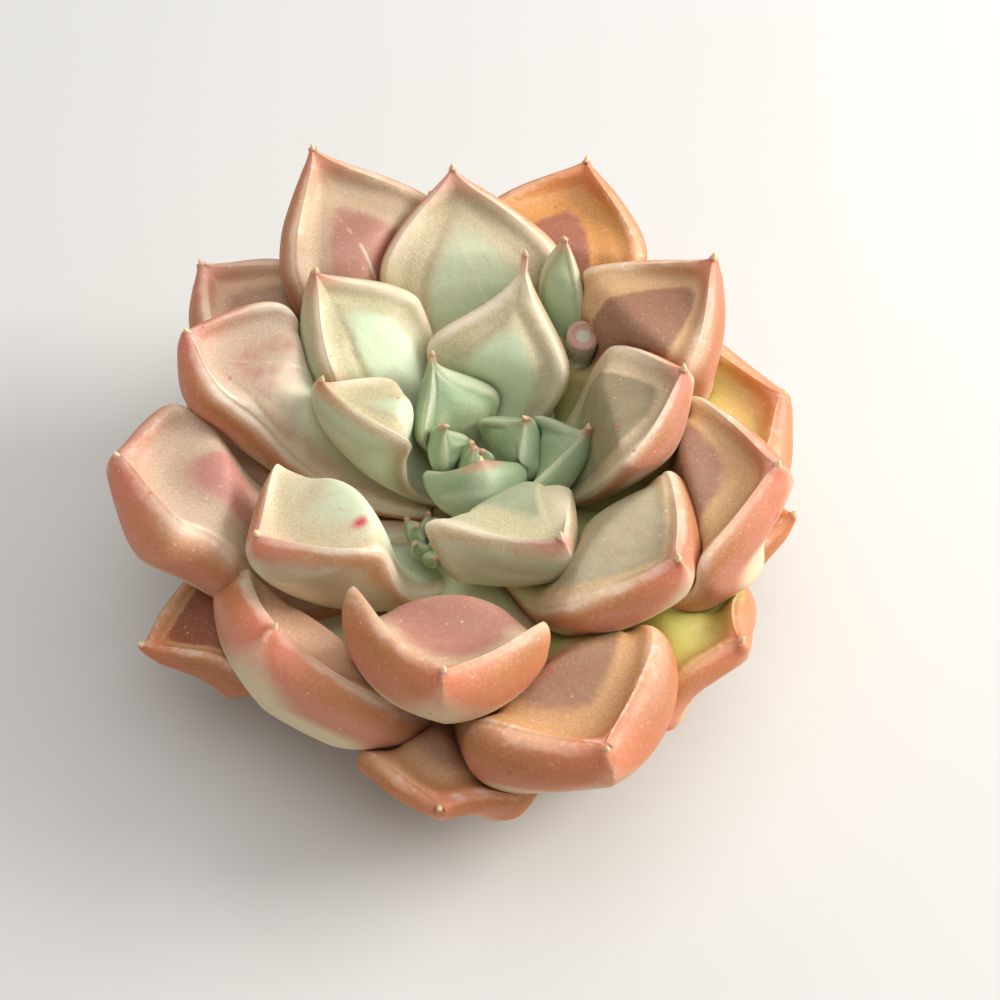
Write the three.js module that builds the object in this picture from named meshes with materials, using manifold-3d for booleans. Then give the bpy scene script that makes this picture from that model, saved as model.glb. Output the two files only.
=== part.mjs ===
// An echeveria rosette, lifted out of its soil and standing on its short cut stem, in mm, +Z up.
// Thick boat-shaped leaves with small pointed tips stand round the stem, each lower leaf pressed
// under the ones above it. A side shoot, a bract and the stump of a cut flower stalk stand among them.
// The origin is the middle of the stem's flat cut end. The viewer's side is -Y.
import * as THREE from "three";
import { mergeVertices } from "three/addons/utils/BufferGeometryUtils.js";
import Module from "manifold-3d";

const wasm = await Module();
wasm.setup();

// The gap between a piece and its neighbour.
const CLEARANCE = 0.35;

// The stem, as the radius and height of each turn of its outline.
const STEM_OUTLINE = [
  [0, 0],
  [4.1, 0],
  [4.6, 1.2],
  [5, 4.5],
  [5, 10.5],
  [4, 13.4],
  [2.6, 15],
  [0, 16],
];
const STEM_SIDES = 28;

// The cut flower stalk: its radius, and the points of its middle line from the stem to the cut.
const STALK_RADIUS = 1.7;
const STALK_LINE = [
  [3.2, 3.9, 11.4],
  [6.4, 8.2, 12.6],
  [9.4, 12.4, 15.4],
  [10.8, 14.4, 19.4],
  [11, 13.4, 23.4],
];

// The side shoot: its root in the stem, the heart its leaves spring from, and how they stand.
const SHOOT_ROOT = [-2.6, -3.4, 12.4];
const SHOOT_HEART = [-4.7, -6.2, 13.4];
const SHOOT_STUB_RADIUS = 0.9;
const SHOOT_LEAVES = 8;

const GOLDEN_ANGLE = 137.5;

// The plain colours of the pieces.
const STEM_COLOUR = 0xa98c62;
const STALK_COLOUR = 0xd9a58c;
const SHOOT_COLOUR = 0x8fa07c;
const HEART_COLOUR = 0xa8ad8e;
const MIDDLE_COLOUR = 0xc3a285;
const OUTER_COLOUR = 0xcb8a68;

// A leaf's width at its root, as a share of its greatest width.
const ROOT_SHARE = 0.36;
// The half thickness of a leaf's rounded margin.
const RIM = 0.6;
// How far a leaf may be pressed down by the ones above it, how much more than it needs, how much
// closer than a leaf's own points the dents are looked for, and how often their edges are softened.
const MOST_PRESS = 3;
const PRESS_MARGIN = 0.3;
const FINER = 3;
const SOFTENING = 3;

// What a leaf has when its own line says nothing else. Angles are in degrees and sizes in mm.
// root and foot: the root's distance from the axis, and its height. dip: how far the midline drops
// below the straight line to the tip as it leaves the root. curl: how far it turns up at the tip.
// hook: how far from its ends, as a share of its length, the midline keeps those two directions.
// wide: full width, reached at the share widest of the length. point: how drawn-out the tip is.
// thick: fleshiness under the midline. cupL, cupR: how steeply the halves rise to their margins, L
// being the anticlockwise one. lean: how much wider L is. swing: how far the root's azimuth lags
// the tip's. bulge and keel: how full and how keeled the underside is. blunt: how far it stands out
// past the tip. shoulder: how long the leaf stays wide before it narrows to the tip. fill: how full
// the face between the margins is, up to the share till of the length. flat: 1 where the margins
// only rise beyond 0.4 of the length. rollL, rollR: how far a margin rolls in over the face.
// hornL, hornR: how far a margin stands up where the leaf is widest. early: how soon the leaf gets
// wide, sooner when small. mound: how high the face swells at the share moundAt of the length, and
// moundLong over how much of the length.
const PLAIN_LEAF = {
  root: 4.4,
  foot: 4,
  dip: 30,
  curl: 30,
  hook: 0.38,
  wide: 18,
  widest: 0.7,
  shoulder: 2,
  point: 1.3,
  thick: 3.8,
  bulge: 0.45,
  keel: 0.5,
  blunt: 1,
  cupL: 0.85,
  cupR: 0.85,
  lean: 0,
  swing: 0,
  fill: 0.95,
  till: 0.95,
  flat: 0,
  rollL: 0,
  rollR: 0,
  hornL: 0,
  hornR: 0,
  early: 0.8,
  mound: 0,
  moundAt: 0.5,
  moundLong: 0.2,
  steps: 10,
  sides: 12,
};

// The tiny leaves of the crown's bud and of the side shoot.
const TINY_LEAF = {
  ...PLAIN_LEAF,
  dip: 10,
  curl: 10,
  wide: 3,
  widest: 0.45,
  point: 1.6,
  thick: 0.9,
  cupL: 0.4,
  cupR: 0.4,
  blunt: 0,
  steps: 3,
  sides: 6,
};

const BUD_LEAVES = [
  { ...TINY_LEAF, at: 250, reach: 0.3, rise: 22.6, root: 0.4, foot: 15.2 },
  { ...TINY_LEAF, at: 20, reach: 0.5, rise: 21.2, root: 0.5, foot: 15.2 },
  { ...TINY_LEAF, at: 120, reach: 0.8, rise: 21.8, root: 0.5, foot: 15.2 },
];

// at is the tip's azimuth, anticlockwise from +X seen from above. reach and rise are its distance
// from the axis and its height. The leaves go from the youngest outwards.
const HEART_LEAVES = {
  leaf_01: {
    at: 150, reach: 3.4, rise: 23.2, root: 1.6, foot: 15.6, wide: 4.6, widest: 0.42, point: 2.4,
    thick: 1.2, blunt: 0, cupL: 0.6, cupR: 0.6, steps: 8,
  },
  leaf_02: {
    at: 285, reach: 2.2, rise: 22.6, root: 2, foot: 15.3, swing: 30, dip: 50, curl: 50, wide: 9.6,
    widest: 0.62, point: 0.9, thick: 2, blunt: 0.3, cupL: 0.5, cupR: 0.7, lean: -0.06, fill: 0.5,
    steps: 8,
  },
  leaf_03: {
    at: 31, reach: 5.7, rise: 23, root: 2.4, foot: 15, dip: 12, curl: 12, wide: 8, widest: 0.5,
    point: 1.9, thick: 1.6, blunt: 0, cupL: 0.6, cupR: 0.6, fill: 0.3, steps: 8,
  },
  leaf_04: {
    at: 5, reach: 11.2, rise: 24, root: 3, foot: 14.4, swing: 20, curl: 10, wide: 9.5, widest: 0.55,
    point: 2.2, thick: 1.4, blunt: 0, cupL: 0.7, cupR: 0.9, fill: 0.3,
  },
  leaf_05: {
    at: 117, reach: 9.9, rise: 26, root: 3.2, foot: 14.2, dip: 14, curl: 14, wide: 9.5,
    widest: 0.45, point: 2.6, thick: 1.8, blunt: 0, cupL: 0.9, cupR: 0.3, lean: -0.15, fill: 0.75,
  },
  leaf_06: {
    at: 304, reach: 14.6, rise: 24, root: 3.8, foot: 13.6, dip: 40, curl: 40, wide: 15, widest: 0.6,
    thick: 2.2, bulge: 0.12, keel: 0.9, blunt: 0, cupL: 0.68, cupR: 1.25, lean: -0.3, flat: 0.6,
    early: 0.5,
  },
  leaf_07: {
    at: 163, reach: 15.9, rise: 27, root: 3.8, foot: 12.4, wide: 10.5, widest: 0.7, point: 1.7,
    thick: 2, bulge: 0.1, blunt: 0, cupL: 1.8, cupR: 0.8, lean: 0.1, rollL: 0.35, early: 0.5,
  },
  leaf_08: {
    at: 75, reach: 19.3, rise: 30, root: 4, foot: 13.3, dip: 16, curl: 16, wide: 14, widest: 0.5,
    point: 2.7, thick: 2.8, blunt: 0, cupL: 0.6, cupR: 0.6, lean: 0.08, fill: 0.75,
  },
  leaf_09: {
    at: 12, reach: 20.7, rise: 29, root: 4.2, foot: 13, wide: 15.5, widest: 0.74, thick: 2.2,
    bulge: 0.3, blunt: 0, cupL: 0.48, cupR: 0.85, lean: -0.06,
  },
};

const MIDDLE_LEAVES = {
  leaf_10: {
    at: 213, reach: 23.9, rise: 26, foot: 9.4, swing: -22, wide: 15, widest: 0.85, shoulder: 1.5,
    thick: 2.7, bulge: 0, blunt: 0, cupL: 0.95, cupR: 0.6, fill: 1.3, flat: 0.6, rollL: 0.2,
    hornR: 0.8, early: 0.4, mound: 1.5,
  },
  leaf_11: {
    at: 320, reach: 24.2, rise: 26, foot: 12.4, dip: 36, curl: 36, wide: 17.4, widest: 0.76,
    shoulder: 1.6, thick: 3.4, blunt: 0.4, cupL: 0.5, cupR: 0.42, lean: 0, fill: 1.1, flat: 0.5,
    hornL: 1.2, early: 0.4, mound: 1.5,
  },
  leaf_12: {
    at: 135, reach: 23, rise: 30, foot: 12.2, wide: 13.4, point: 1.5, thick: 2.8, blunt: 0.2,
    cupL: 0.85, cupR: 0.7, lean: -0.1, fill: 0.75, rollL: 0.1, early: 0.5, mound: 1, moundAt: 0.45,
  },
  leaf_13: {
    at: 265, reach: 27.7, rise: 27, foot: 12, dip: 46, curl: 46, wide: 19.5, widest: 0.78,
    shoulder: 1.4, thick: 3.7, bulge: 0.3, blunt: 0.8, cupL: 0.6, cupR: 0.62, lean: -0.07,
    fill: 1.3, till: 0.7, flat: 1, rollL: 0.1, rollR: 0.1, hornL: 0.4, hornR: 2.2, early: 0.2,
    mound: 3.4, moundAt: 0.56, moundLong: 0.19,
  },
  bract: {
    at: 67, reach: 23.2, rise: 29.4, root: 16.6, foot: 17.6, swing: 10, dip: 8, curl: 8, wide: 5.2,
    widest: 0.5, point: 1.1, thick: 0.9, blunt: 0, cupL: 0.35, cupR: 0.35, steps: 8, sides: 8,
  },
  leaf_14: {
    at: 95, reach: 30.3, rise: 31, foot: 11.8, wide: 18, widest: 0.66, shoulder: 2.5, point: 1.5,
    thick: 3, blunt: 0.2, cupL: 0.65, cupR: 0.65, lean: -0.12, fill: 0.75,
  },
  leaf_15: {
    at: 37, reach: 30.2, rise: 30, foot: 11.6, wide: 18, thick: 3, bulge: 0.35, blunt: 0.3,
    cupL: 0.8, cupR: 0.75, rollR: 0.12,
  },
  leaf_16: {
    at: 161, reach: 30.4, rise: 28, foot: 11.4, wide: 13.6, widest: 0.82, shoulder: 2.8, thick: 3.2,
    blunt: 0.5, cupL: 0.75, cupR: 1, fill: 0.9, flat: 0.5, rollL: 0.25, early: 0.4, mound: 2,
    moundLong: 0.25,
  },
  leaf_17: {
    at: 350, reach: 29.1, rise: 26, foot: 11.2, dip: 36, curl: 36, wide: 20, widest: 0.76,
    shoulder: 2.6, thick: 4, bulge: 0.2, blunt: 0.6, cupL: 0.75, cupR: 0.6, lean: -0.2, flat: 1,
    hornL: 0.6, early: 0.5,
  },
};

const OUTER_LEAVES = {
  leaf_18: {
    at: 229, reach: 27.3, rise: 22, foot: 11.4, swing: -25, dip: 42, curl: 74, hook: 0.52,
    wide: 21.5, widest: 0.76, thick: 4.8, bulge: 0.5, blunt: 1, cupL: 0.25, cupR: 0.5, lean: -0.06,
    flat: 1, early: 0.5,
  },
  leaf_19: {
    at: 290, reach: 33.9, rise: 21, foot: 10.6, dip: 44, curl: 44, wide: 21, widest: 0.76,
    thick: 4.8, blunt: 1.6, cupL: 0.72, cupR: 0.5, lean: -0.05, flat: 0.6, rollL: 0.1, rollR: 0.15,
    early: 0.4, mound: 1,
  },
  leaf_20: {
    at: 118, reach: 37.6, rise: 31, foot: 10.6, wide: 19, point: 1.4, thick: 3.2, blunt: 0.4,
    lean: -0.1, rollL: 0.1,
  },
  leaf_21: {
    at: 184, reach: 34.6, rise: 24, foot: 10.4, swing: -24, wide: 17.4, widest: 0.88, thick: 4.8,
    blunt: 1, cupL: 0.75, cupR: 0.6, lean: 0.3, fill: 1.05, flat: 1, rollL: 0.25, early: 0.5,
    mound: 1,
  },
  leaf_22: {
    at: 72, reach: 38.7, rise: 26, foot: 10.2, wide: 18.2, widest: 0.75, point: 1.2, blunt: 0.6,
  },
  leaf_23: {
    at: 322, reach: 31.6, rise: 18, foot: 9, dip: 28, curl: 38, wide: 20.5, thick: 3.2, blunt: 1.4,
    cupL: 0.65, cupR: 0.45, lean: -0.15, flat: 0.6, early: 0.5,
  },
  leaf_24: {
    at: 15, reach: 32.6, rise: 20, foot: 9, dip: 36, wide: 21, widest: 0.78, shoulder: 2.8,
    thick: 3.8, blunt: 1.2, cupL: 1.05, cupR: 0.45, flat: 1, rollR: 0.15,
  },
  leaf_25: {
    at: 141, reach: 38.2, rise: 23, foot: 8.8, dip: 36, wide: 17, widest: 0.76, blunt: 1, cupL: 1.1,
    cupR: 0.95,
  },
  leaf_26: {
    at: 265, reach: 34.8, rise: 14.2, foot: 8.6, dip: 28, curl: 26, wide: 16.5, widest: 0.76,
    thick: 3.2, blunt: 1.2, cupL: 0.35, cupR: 0.35,
  },
  leaf_27: {
    at: 209, reach: 36.8, rise: 14, foot: 8.6, dip: 28, wide: 14, thick: 2.8, blunt: 0.4, cupL: 0.9,
    cupR: 0.5,
  },
  leaf_28: {
    at: 353, reach: 32.2, rise: 16, foot: 8, dip: 36, wide: 14, thick: 2.6, blunt: 0.3, cupL: 0.4,
    cupR: 0.3, steps: 8, sides: 10,
  },
  leaf_29: {
    at: 99, reach: 34, rise: 24, foot: 8, dip: 40, wide: 14, thick: 3.2, blunt: 0.2, cupL: 0.3,
    cupR: 0.3, steps: 8, sides: 10,
  },
  leaf_30: {
    at: 165, reach: 31.1, rise: 18, foot: 8, dip: 36, wide: 15, thick: 3.4, blunt: 0.3, cupL: 0.4,
    cupR: 0.3, steps: 8, sides: 10,
  },
  leaf_31: {
    at: 45, reach: 32, rise: 15.5, foot: 7.6, dip: 34, curl: 26, wide: 16, thick: 3.2, blunt: 0.6,
    cupL: 0.3, cupR: 0.3, steps: 8, sides: 10,
  },
  leaf_32: {
    at: 83, reach: 34, rise: 14.6, foot: 7.4, dip: 30, curl: 26, wide: 16, thick: 3.2, blunt: 0.6,
    cupL: 0.3, cupR: 0.3, steps: 8, sides: 10,
  },
  leaf_33: {
    at: 126, reach: 34, rise: 13.4, foot: 7.8, dip: 24, curl: 26, wide: 16, thick: 2.8, blunt: 0.6,
    cupL: 0.3, cupR: 0.3, steps: 8, sides: 10,
  },
  leaf_34: {
    at: 303, reach: 28, rise: 9, foot: 7.4, dip: 12, curl: 22, wide: 14, thick: 2.6, blunt: 0.6,
    cupL: 0.3, cupR: 0.3, steps: 8, sides: 10,
  },
  leaf_35: {
    at: 63, reach: 29, rise: 10, foot: 6.6, dip: 16, curl: 22, wide: 14, thick: 2.6, blunt: 0.6,
    cupL: 0.3, cupR: 0.3, steps: 8, sides: 10,
  },
  leaf_36: {
    at: 238, reach: 25.5, rise: 9, foot: 7, dip: 12, curl: 22, wide: 13, thick: 2.6, blunt: 0.6,
    cupL: 0.3, cupR: 0.3, steps: 8, sides: 10,
  },
};

const smooth = (t) => t * t * (3 - 2 * t);
const ease = (t) => smooth(THREE.MathUtils.clamp(t, 0, 1));
const radians = THREE.MathUtils.degToRad;
const CORNERS = [new THREE.Vector3(), new THREE.Vector3(), new THREE.Vector3()];
const HIT = new THREE.Vector3();

// Half the width at s, a share of the length: narrow root, broad shoulders, drawn-out tip.
function halfWidth(leaf, s) {
  const half = leaf.wide / 2;
  const grown = smooth(Math.min(s / leaf.widest, 1)) ** leaf.early;
  if (s < leaf.widest) return half * (ROOT_SHARE + (1 - ROOT_SHARE) * grown);
  const q = (s - leaf.widest) / (1 - leaf.widest);
  return Math.max(0.25, half * (1 - q ** leaf.shoulder) ** leaf.point);
}

function thickness(leaf, s) {
  const swell = 0.4 + 0.6 * ease(s / 0.62);
  const end = Math.sqrt(1 - THREE.MathUtils.clamp((s - 0.7) / 0.3, 0, 1) ** 2 * (1 - 0.12 * leaf.blunt));
  return Math.max(0.35, leaf.thick * swell * end);
}

// The midline: a cubic curve in the leaf's upright plane that leaves the root low and turns up.
function midline(leaf) {
  const start = new THREE.Vector2(leaf.root, leaf.foot);
  const end = new THREE.Vector2(leaf.reach, leaf.rise);
  const chord = end.clone().sub(start);
  const pitch = Math.atan2(chord.y, chord.x);
  const handle = leaf.hook * chord.length();
  const low = pitch - radians(leaf.dip);
  const high = pitch + radians(leaf.curl);
  const out = new THREE.Vector2(Math.cos(low), Math.sin(low)).multiplyScalar(handle);
  const back = new THREE.Vector2(Math.cos(high), Math.sin(high)).multiplyScalar(-handle);
  return new THREE.CubicBezierCurve(start, start.clone().add(out), end.clone().add(back), end);
}

// The rings of points round a leaf from root to tip, each with the way to its underside.
function leafRings(leaf) {
  const curve = midline(leaf);
  const rings = [];
  for (let i = 0; i <= leaf.steps; i++) {
    const s = (i / leaf.steps) ** 0.9;
    const at = curve.getPoint(s);
    const slope = curve.getTangent(s);
    const azimuth = radians(leaf.at - leaf.swing * (1 - s) ** 1.5);
    const outward = new THREE.Vector3(Math.cos(azimuth), Math.sin(azimuth), 0);
    const middle = outward.clone().multiplyScalar(at.x).setZ(at.y);
    const tangent = outward.clone().multiplyScalar(slope.x).setZ(slope.y);
    const side = new THREE.Vector3(-Math.sin(azimuth), Math.cos(azimuth), 0);
    const face = new THREE.Vector3().crossVectors(tangent, side);
    const half = halfWidth(leaf, s);
    const thick = thickness(leaf, s);
    const lift = ease((s - 0.4 * leaf.flat) / (0.65 * (1 - 0.3 * leaf.flat)));
    const rise = 0.3 * (1 - leaf.flat) + (0.7 + 0.3 * leaf.flat) * lift - 0.2 * ease((s - 0.7) / 0.3);
    const full = leaf.fill * ease(s / 0.35) * (1 - ease((s - leaf.till) / 0.2 + 1));
    const crown = (full * (leaf.cupL + leaf.cupR) * rise * half) / 2;
    const mound = leaf.mound * Math.exp(-(((s - leaf.moundAt) / leaf.moundLong) ** 2));
    const peak = Math.exp(-(((s - leaf.widest) / 0.1) ** 2));
    const keel = leaf.keel * ease((s - 0.35) / 0.5);
    const ramp = leaf.blunt * ease((s - 0.72) / 0.22) * (1 - 0.6 * ease((s - 0.9) / 0.1));
    const points = [];
    for (let j = 0; j < leaf.sides; j++) {
      const turn = (2 * Math.PI * j) / leaf.sides;
      const across = Math.cos(turn);
      const over = Math.sin(turn);
      const under = Math.max(0, -over);
      const cup = (across > 0 ? leaf.cupL : leaf.cupR) * rise * half;
      const roll = (across > 0 ? leaf.rollL : leaf.rollR) * ease(s / 0.4);
      const horn = (across > 0 ? leaf.hornL : leaf.hornR) * peak;
      const share = half * (1 + Math.sign(across) * leaf.lean);
      const hull = keel * (1 - Math.abs(across)) ** 0.8 + (1 - keel) * under ** 1.2;
      const x = across * (share * (1 + leaf.bulge * under - roll * (1 - under)) + 1.4 * ramp * under);
      const raised = cup * across ** 2 + horn * across ** 6 + Math.min(RIM, 0.3 * half) * over;
      const y = raised + (over > 0 ? crown * over ** 2 + mound * over ** 1.5 : -thick * hull);
      const point = middle.clone().addScaledVector(side, x).addScaledVector(face, y);
      points.push(point.addScaledVector(tangent, 0.4 * ramp * Math.sin(Math.PI * under ** 0.7)));
    }
    rings.push({ points, down: face.negate() });
  }
  return rings;
}

// A closed skin over rings of points, with a flat cap at each end.
function skin(rings) {
  const sides = rings[0].points.length;
  const last = (rings.length - 1) * sides;
  const positions = rings.flatMap((ring) => ring.points.flatMap((p) => [p.x, p.y, p.z]));
  const indices = [];
  for (let i = 0; i < rings.length - 1; i++) {
    for (let j = 0; j < sides; j++) {
      const a = i * sides + j;
      const b = i * sides + ((j + 1) % sides);
      indices.push(a, b, a + sides, b, b + sides, a + sides);
    }
  }
  for (let j = 1; j < sides - 1; j++) indices.push(0, j + 1, j, last, last + j, last + j + 1);
  const geometry = new THREE.BufferGeometry();
  geometry.setAttribute("position", new THREE.Float32BufferAttribute(positions, 3));
  geometry.setIndex(indices);
  return geometry;
}

// The same geometry, with its surface moved out by a distance along its smooth normals.
function grown(geometry, distance) {
  const bigger = geometry.clone();
  bigger.computeVertexNormals();
  const place = bigger.getAttribute("position");
  const normal = bigger.getAttribute("normal");
  const point = new THREE.Vector3();
  const away = new THREE.Vector3();
  for (let k = 0; k < place.count; k++) {
    point.fromBufferAttribute(place, k).addScaledVector(away.fromBufferAttribute(normal, k), distance);
    place.setXYZ(k, point.x, point.y, point.z);
  }
  bigger.deleteAttribute("normal");
  bigger.computeBoundingBox();
  return bigger;
}

// How far a point inside a closed geometry is from its surface in a direction, or 0 outside it.
function wayOut(point, direction, geometry) {
  if (!geometry.boundingBox.containsPoint(point)) return 0;
  const ray = new THREE.Ray(point, direction);
  const place = geometry.getAttribute("position");
  const index = geometry.getIndex();
  let crossings = 0;
  let furthest = 0;
  for (let k = 0; k < index.count; k += 3) {
    CORNERS.forEach((corner, n) => corner.fromBufferAttribute(place, index.getX(k + n)));
    if (!ray.intersectTriangle(...CORNERS, false, HIT)) continue;
    crossings += 1;
    furthest = Math.max(furthest, HIT.distanceTo(point));
  }
  return crossings % 2 === 1 ? furthest + PRESS_MARGIN : 0;
}

// How far each point of a leaf must go down to clear the pieces above it. The dents are found on
// rings and points FINER times as close, and the underside goes down as far as the face over it.
function dents(leaf, above) {
  const fine = leafRings({ ...leaf, steps: leaf.steps * FINER, sides: leaf.sides * FINER });
  const found = fine.map((ring) =>
    ring.points
      .slice(0, ring.points.length / 2 + 1)
      .map((point) => Math.max(0, ...above.map((piece) => wayOut(point, ring.down, piece)))),
  );
  const needed = [];
  for (let i = 0; i <= leaf.steps; i++) {
    const nearRings = found.slice(Math.max(0, FINER * i - 1), FINER * i + 2);
    const row = new Array(leaf.sides);
    for (let j = 0; j <= leaf.sides / 2; j++) {
      const from = Math.max(0, FINER * j - 1);
      row[j] = Math.max(...nearRings.flatMap((near) => near.slice(from, FINER * j + 2)));
      row[(leaf.sides - j) % leaf.sides] = row[j];
    }
    needed.push(row);
  }
  return needed;
}

// Presses a leaf down under the pieces above it, with soft edges to the dents they leave.
function pressedRings(leaf, above) {
  const { steps, sides } = leaf;
  const rings = leafRings(leaf);
  const needed = dents(leaf, above);
  let depth = needed;
  for (let pass = 0; pass < SOFTENING; pass++) {
    depth = depth.map((row, i) =>
      row.map((own, j) => {
        const along = depth[Math.max(0, i - 1)][j] + depth[Math.min(steps, i + 1)][j];
        const round = row[(j + 1) % sides] + row[(j + sides - 1) % sides];
        return Math.max(needed[i][j], (2 * own + along + round) / 6);
      }),
    );
  }
  rings.forEach((ring, i) => {
    ring.points.forEach((point, j) => point.addScaledVector(ring.down, Math.min(MOST_PRESS, depth[i][j])));
  });
  return rings;
}

// The same surface with its seams closed, and without the flat triangles that this leaves.
function welded(geometry) {
  for (const name of ["normal", "uv"]) geometry.deleteAttribute(name);
  const merged = mergeVertices(geometry, 1e-5);
  const index = merged.getIndex().array;
  const corners = [];
  for (let k = 0; k < index.length; k += 3) {
    const [a, b, c] = index.slice(k, k + 3);
    if (a !== b && b !== c && c !== a) corners.push(a, b, c);
  }
  return merged.setIndex(corners);
}

function solid(geometry) {
  const vertProperties = new Float32Array(geometry.getAttribute("position").array);
  const triVerts = new Uint32Array(geometry.getIndex().array);
  return new wasm.Manifold(new wasm.Mesh({ numProp: 3, vertProperties, triVerts }));
}

function geometryOf(body) {
  const mesh = body.getMesh();
  const geometry = new THREE.BufferGeometry();
  geometry.setAttribute("position", new THREE.BufferAttribute(new Float32Array(mesh.vertProperties), 3));
  geometry.setIndex(new THREE.BufferAttribute(new Uint32Array(mesh.triVerts), 1));
  return geometry;
}

function joined(geometries) {
  return geometryOf(geometries.map(solid).reduce((all, piece) => all.add(piece)));
}

function largest(body) {
  return body.decompose().reduce((best, piece) => (piece.volume() > best.volume() ? piece : best));
}

function stem() {
  const profile = STEM_OUTLINE.map(([radius, height]) => new THREE.Vector2(radius, height));
  return welded(new THREE.LatheGeometry(profile, STEM_SIDES).rotateX(Math.PI / 2));
}

function rod(line, radius) {
  const circle = new THREE.Shape().absarc(0, 0, radius, 0, 2 * Math.PI, false);
  const path = new THREE.CatmullRomCurve3(line.map((point) => new THREE.Vector3(...point)));
  return welded(new THREE.ExtrudeGeometry(circle, { extrudePath: path, steps: 6, curveSegments: 6 }));
}

function bud() {
  return joined(BUD_LEAVES.map((leaf) => skin(leafRings(leaf))));
}

// Tiny leaves spiralling out of a heart at the end of a short stub.
function shoot() {
  const pieces = [rod([SHOOT_ROOT, SHOOT_HEART], SHOOT_STUB_RADIUS)];
  for (let n = 0; n < SHOOT_LEAVES; n++) {
    const spread = n / (SHOOT_LEAVES - 1);
    const leaf = {
      ...TINY_LEAF,
      at: 40 + n * GOLDEN_ANGLE,
      reach: 0.7 + 2.4 * spread,
      rise: 4.2 - 1.6 * spread,
      root: 0.3,
      foot: -0.2,
      wide: 1.7 + 0.7 * spread,
    };
    pieces.push(skin(leafRings(leaf)).translate(...SHOOT_HEART));
  }
  return joined(pieces);
}

const rosette = new THREE.Group();
const placed = [];

// Adds a piece, cut clear of every piece placed before it.
function place(name, geometry, color) {
  const keepOut = grown(geometry, CLEARANCE);
  let body = solid(geometry);
  for (const piece of placed) {
    if (keepOut.boundingBox.intersectsBox(piece.boundingBox)) body = body.subtract(solid(piece));
  }
  const material = new THREE.MeshStandardMaterial({ color, roughness: 0.6, metalness: 0 });
  const mesh = new THREE.Mesh(geometryOf(largest(body)), material);
  mesh.name = name;
  rosette.add(mesh);
  placed.push(keepOut);
}

function placeLeaves(table, color) {
  for (const [name, line] of Object.entries(table)) {
    const rings = pressedRings({ ...PLAIN_LEAF, ...line }, placed.slice(1));
    place(name, skin(rings), color);
  }
}

place("stem", stem(), STEM_COLOUR);
place("crown_bud", bud(), SHOOT_COLOUR);
placeLeaves(HEART_LEAVES, HEART_COLOUR);
place("flower_stalk", rod(STALK_LINE, STALK_RADIUS), STALK_COLOUR);
place("side_shoot", shoot(), SHOOT_COLOUR);
placeLeaves(MIDDLE_LEAVES, MIDDLE_COLOUR);
placeLeaves(OUTER_LEAVES, OUTER_COLOUR);

export default rosette;
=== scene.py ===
"""An echeveria rosette: thick boat-shaped leaves round a short stem, in metres, +Z up."""

import bpy
import numpy as np
from bpy.props import FloatProperty, FloatVectorProperty, PointerProperty, StringProperty
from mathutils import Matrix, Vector, noise
from mathutils.bvhtree import BVHTree


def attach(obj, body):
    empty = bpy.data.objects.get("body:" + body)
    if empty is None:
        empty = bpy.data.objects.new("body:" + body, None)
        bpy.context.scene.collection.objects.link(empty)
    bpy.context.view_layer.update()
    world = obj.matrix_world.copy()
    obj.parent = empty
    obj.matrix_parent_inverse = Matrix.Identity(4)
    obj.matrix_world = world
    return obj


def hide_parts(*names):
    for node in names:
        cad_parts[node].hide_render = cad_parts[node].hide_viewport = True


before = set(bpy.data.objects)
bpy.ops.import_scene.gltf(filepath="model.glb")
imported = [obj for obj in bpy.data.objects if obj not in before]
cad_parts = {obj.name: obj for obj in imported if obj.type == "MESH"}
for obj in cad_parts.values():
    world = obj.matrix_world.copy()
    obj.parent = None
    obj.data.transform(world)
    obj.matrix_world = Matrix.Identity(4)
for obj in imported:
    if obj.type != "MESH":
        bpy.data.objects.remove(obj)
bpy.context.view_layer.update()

bl_info = {
    "name": "Echeveria rosette",
    "version": (1, 0, 0),
    "blender": (4, 5, 0),
    "location": "3D View > Sidebar > Echeveria",
    "description": "Builds a rosette of fleshy leaves on a short stem, and the stage it stands on",
    "category": "Add Mesh",
}

MM = 0.001
SEED = 11

# How many steps each piece's skin has along it (rings) and round it (sides).
LEAF_RINGS = 84
LEAF_SIDES = 96
TINY_RINGS = 30
TINY_SIDES = 32
SPIKE_RINGS = 5
SPIKE_SIDES = 8
STEM_RINGS = 150
STEM_SIDES = 160
STALK_RINGS = 40
STALK_SIDES = 48
CUT_RINGS = 14
STUB_RINGS = 6
STUB_SIDES = 24

# The half thickness of a leaf's rounded margin. From here on lengths are in mm.
RIM = 0.6

# How far a leaf may be pressed down by the ones above it, how much further than it needs, how
# often the edges of a dent are softened, and how far past a face the next ray starts.
MOST_PRESS = 3
PRESS_MARGIN = 0.15
SOFTENING = 30
PAST_FACE = 0.001

# The relief on a leaf's face: how far in from the margin the soft ridge and the hollow inside it
# are, how far they reach, and how wide a leaf is that has them in full.
LIP_AT = 0.7
LIP_REACH = 0.55
GROOVE_AT = 2.3
GROOVE_REACH = 0.9
BROAD_LEAF = 15

# The unevenness of a leaf's skin: its waves a mm, and how far apart the leaves' patterns are.
WOBBLE_WAVES = 0.16
WOBBLE_STEP = 7.3

# A distance from the midline that is off every leaf, for a leaf with no pale line.
NO_VEIN = 9

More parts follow.
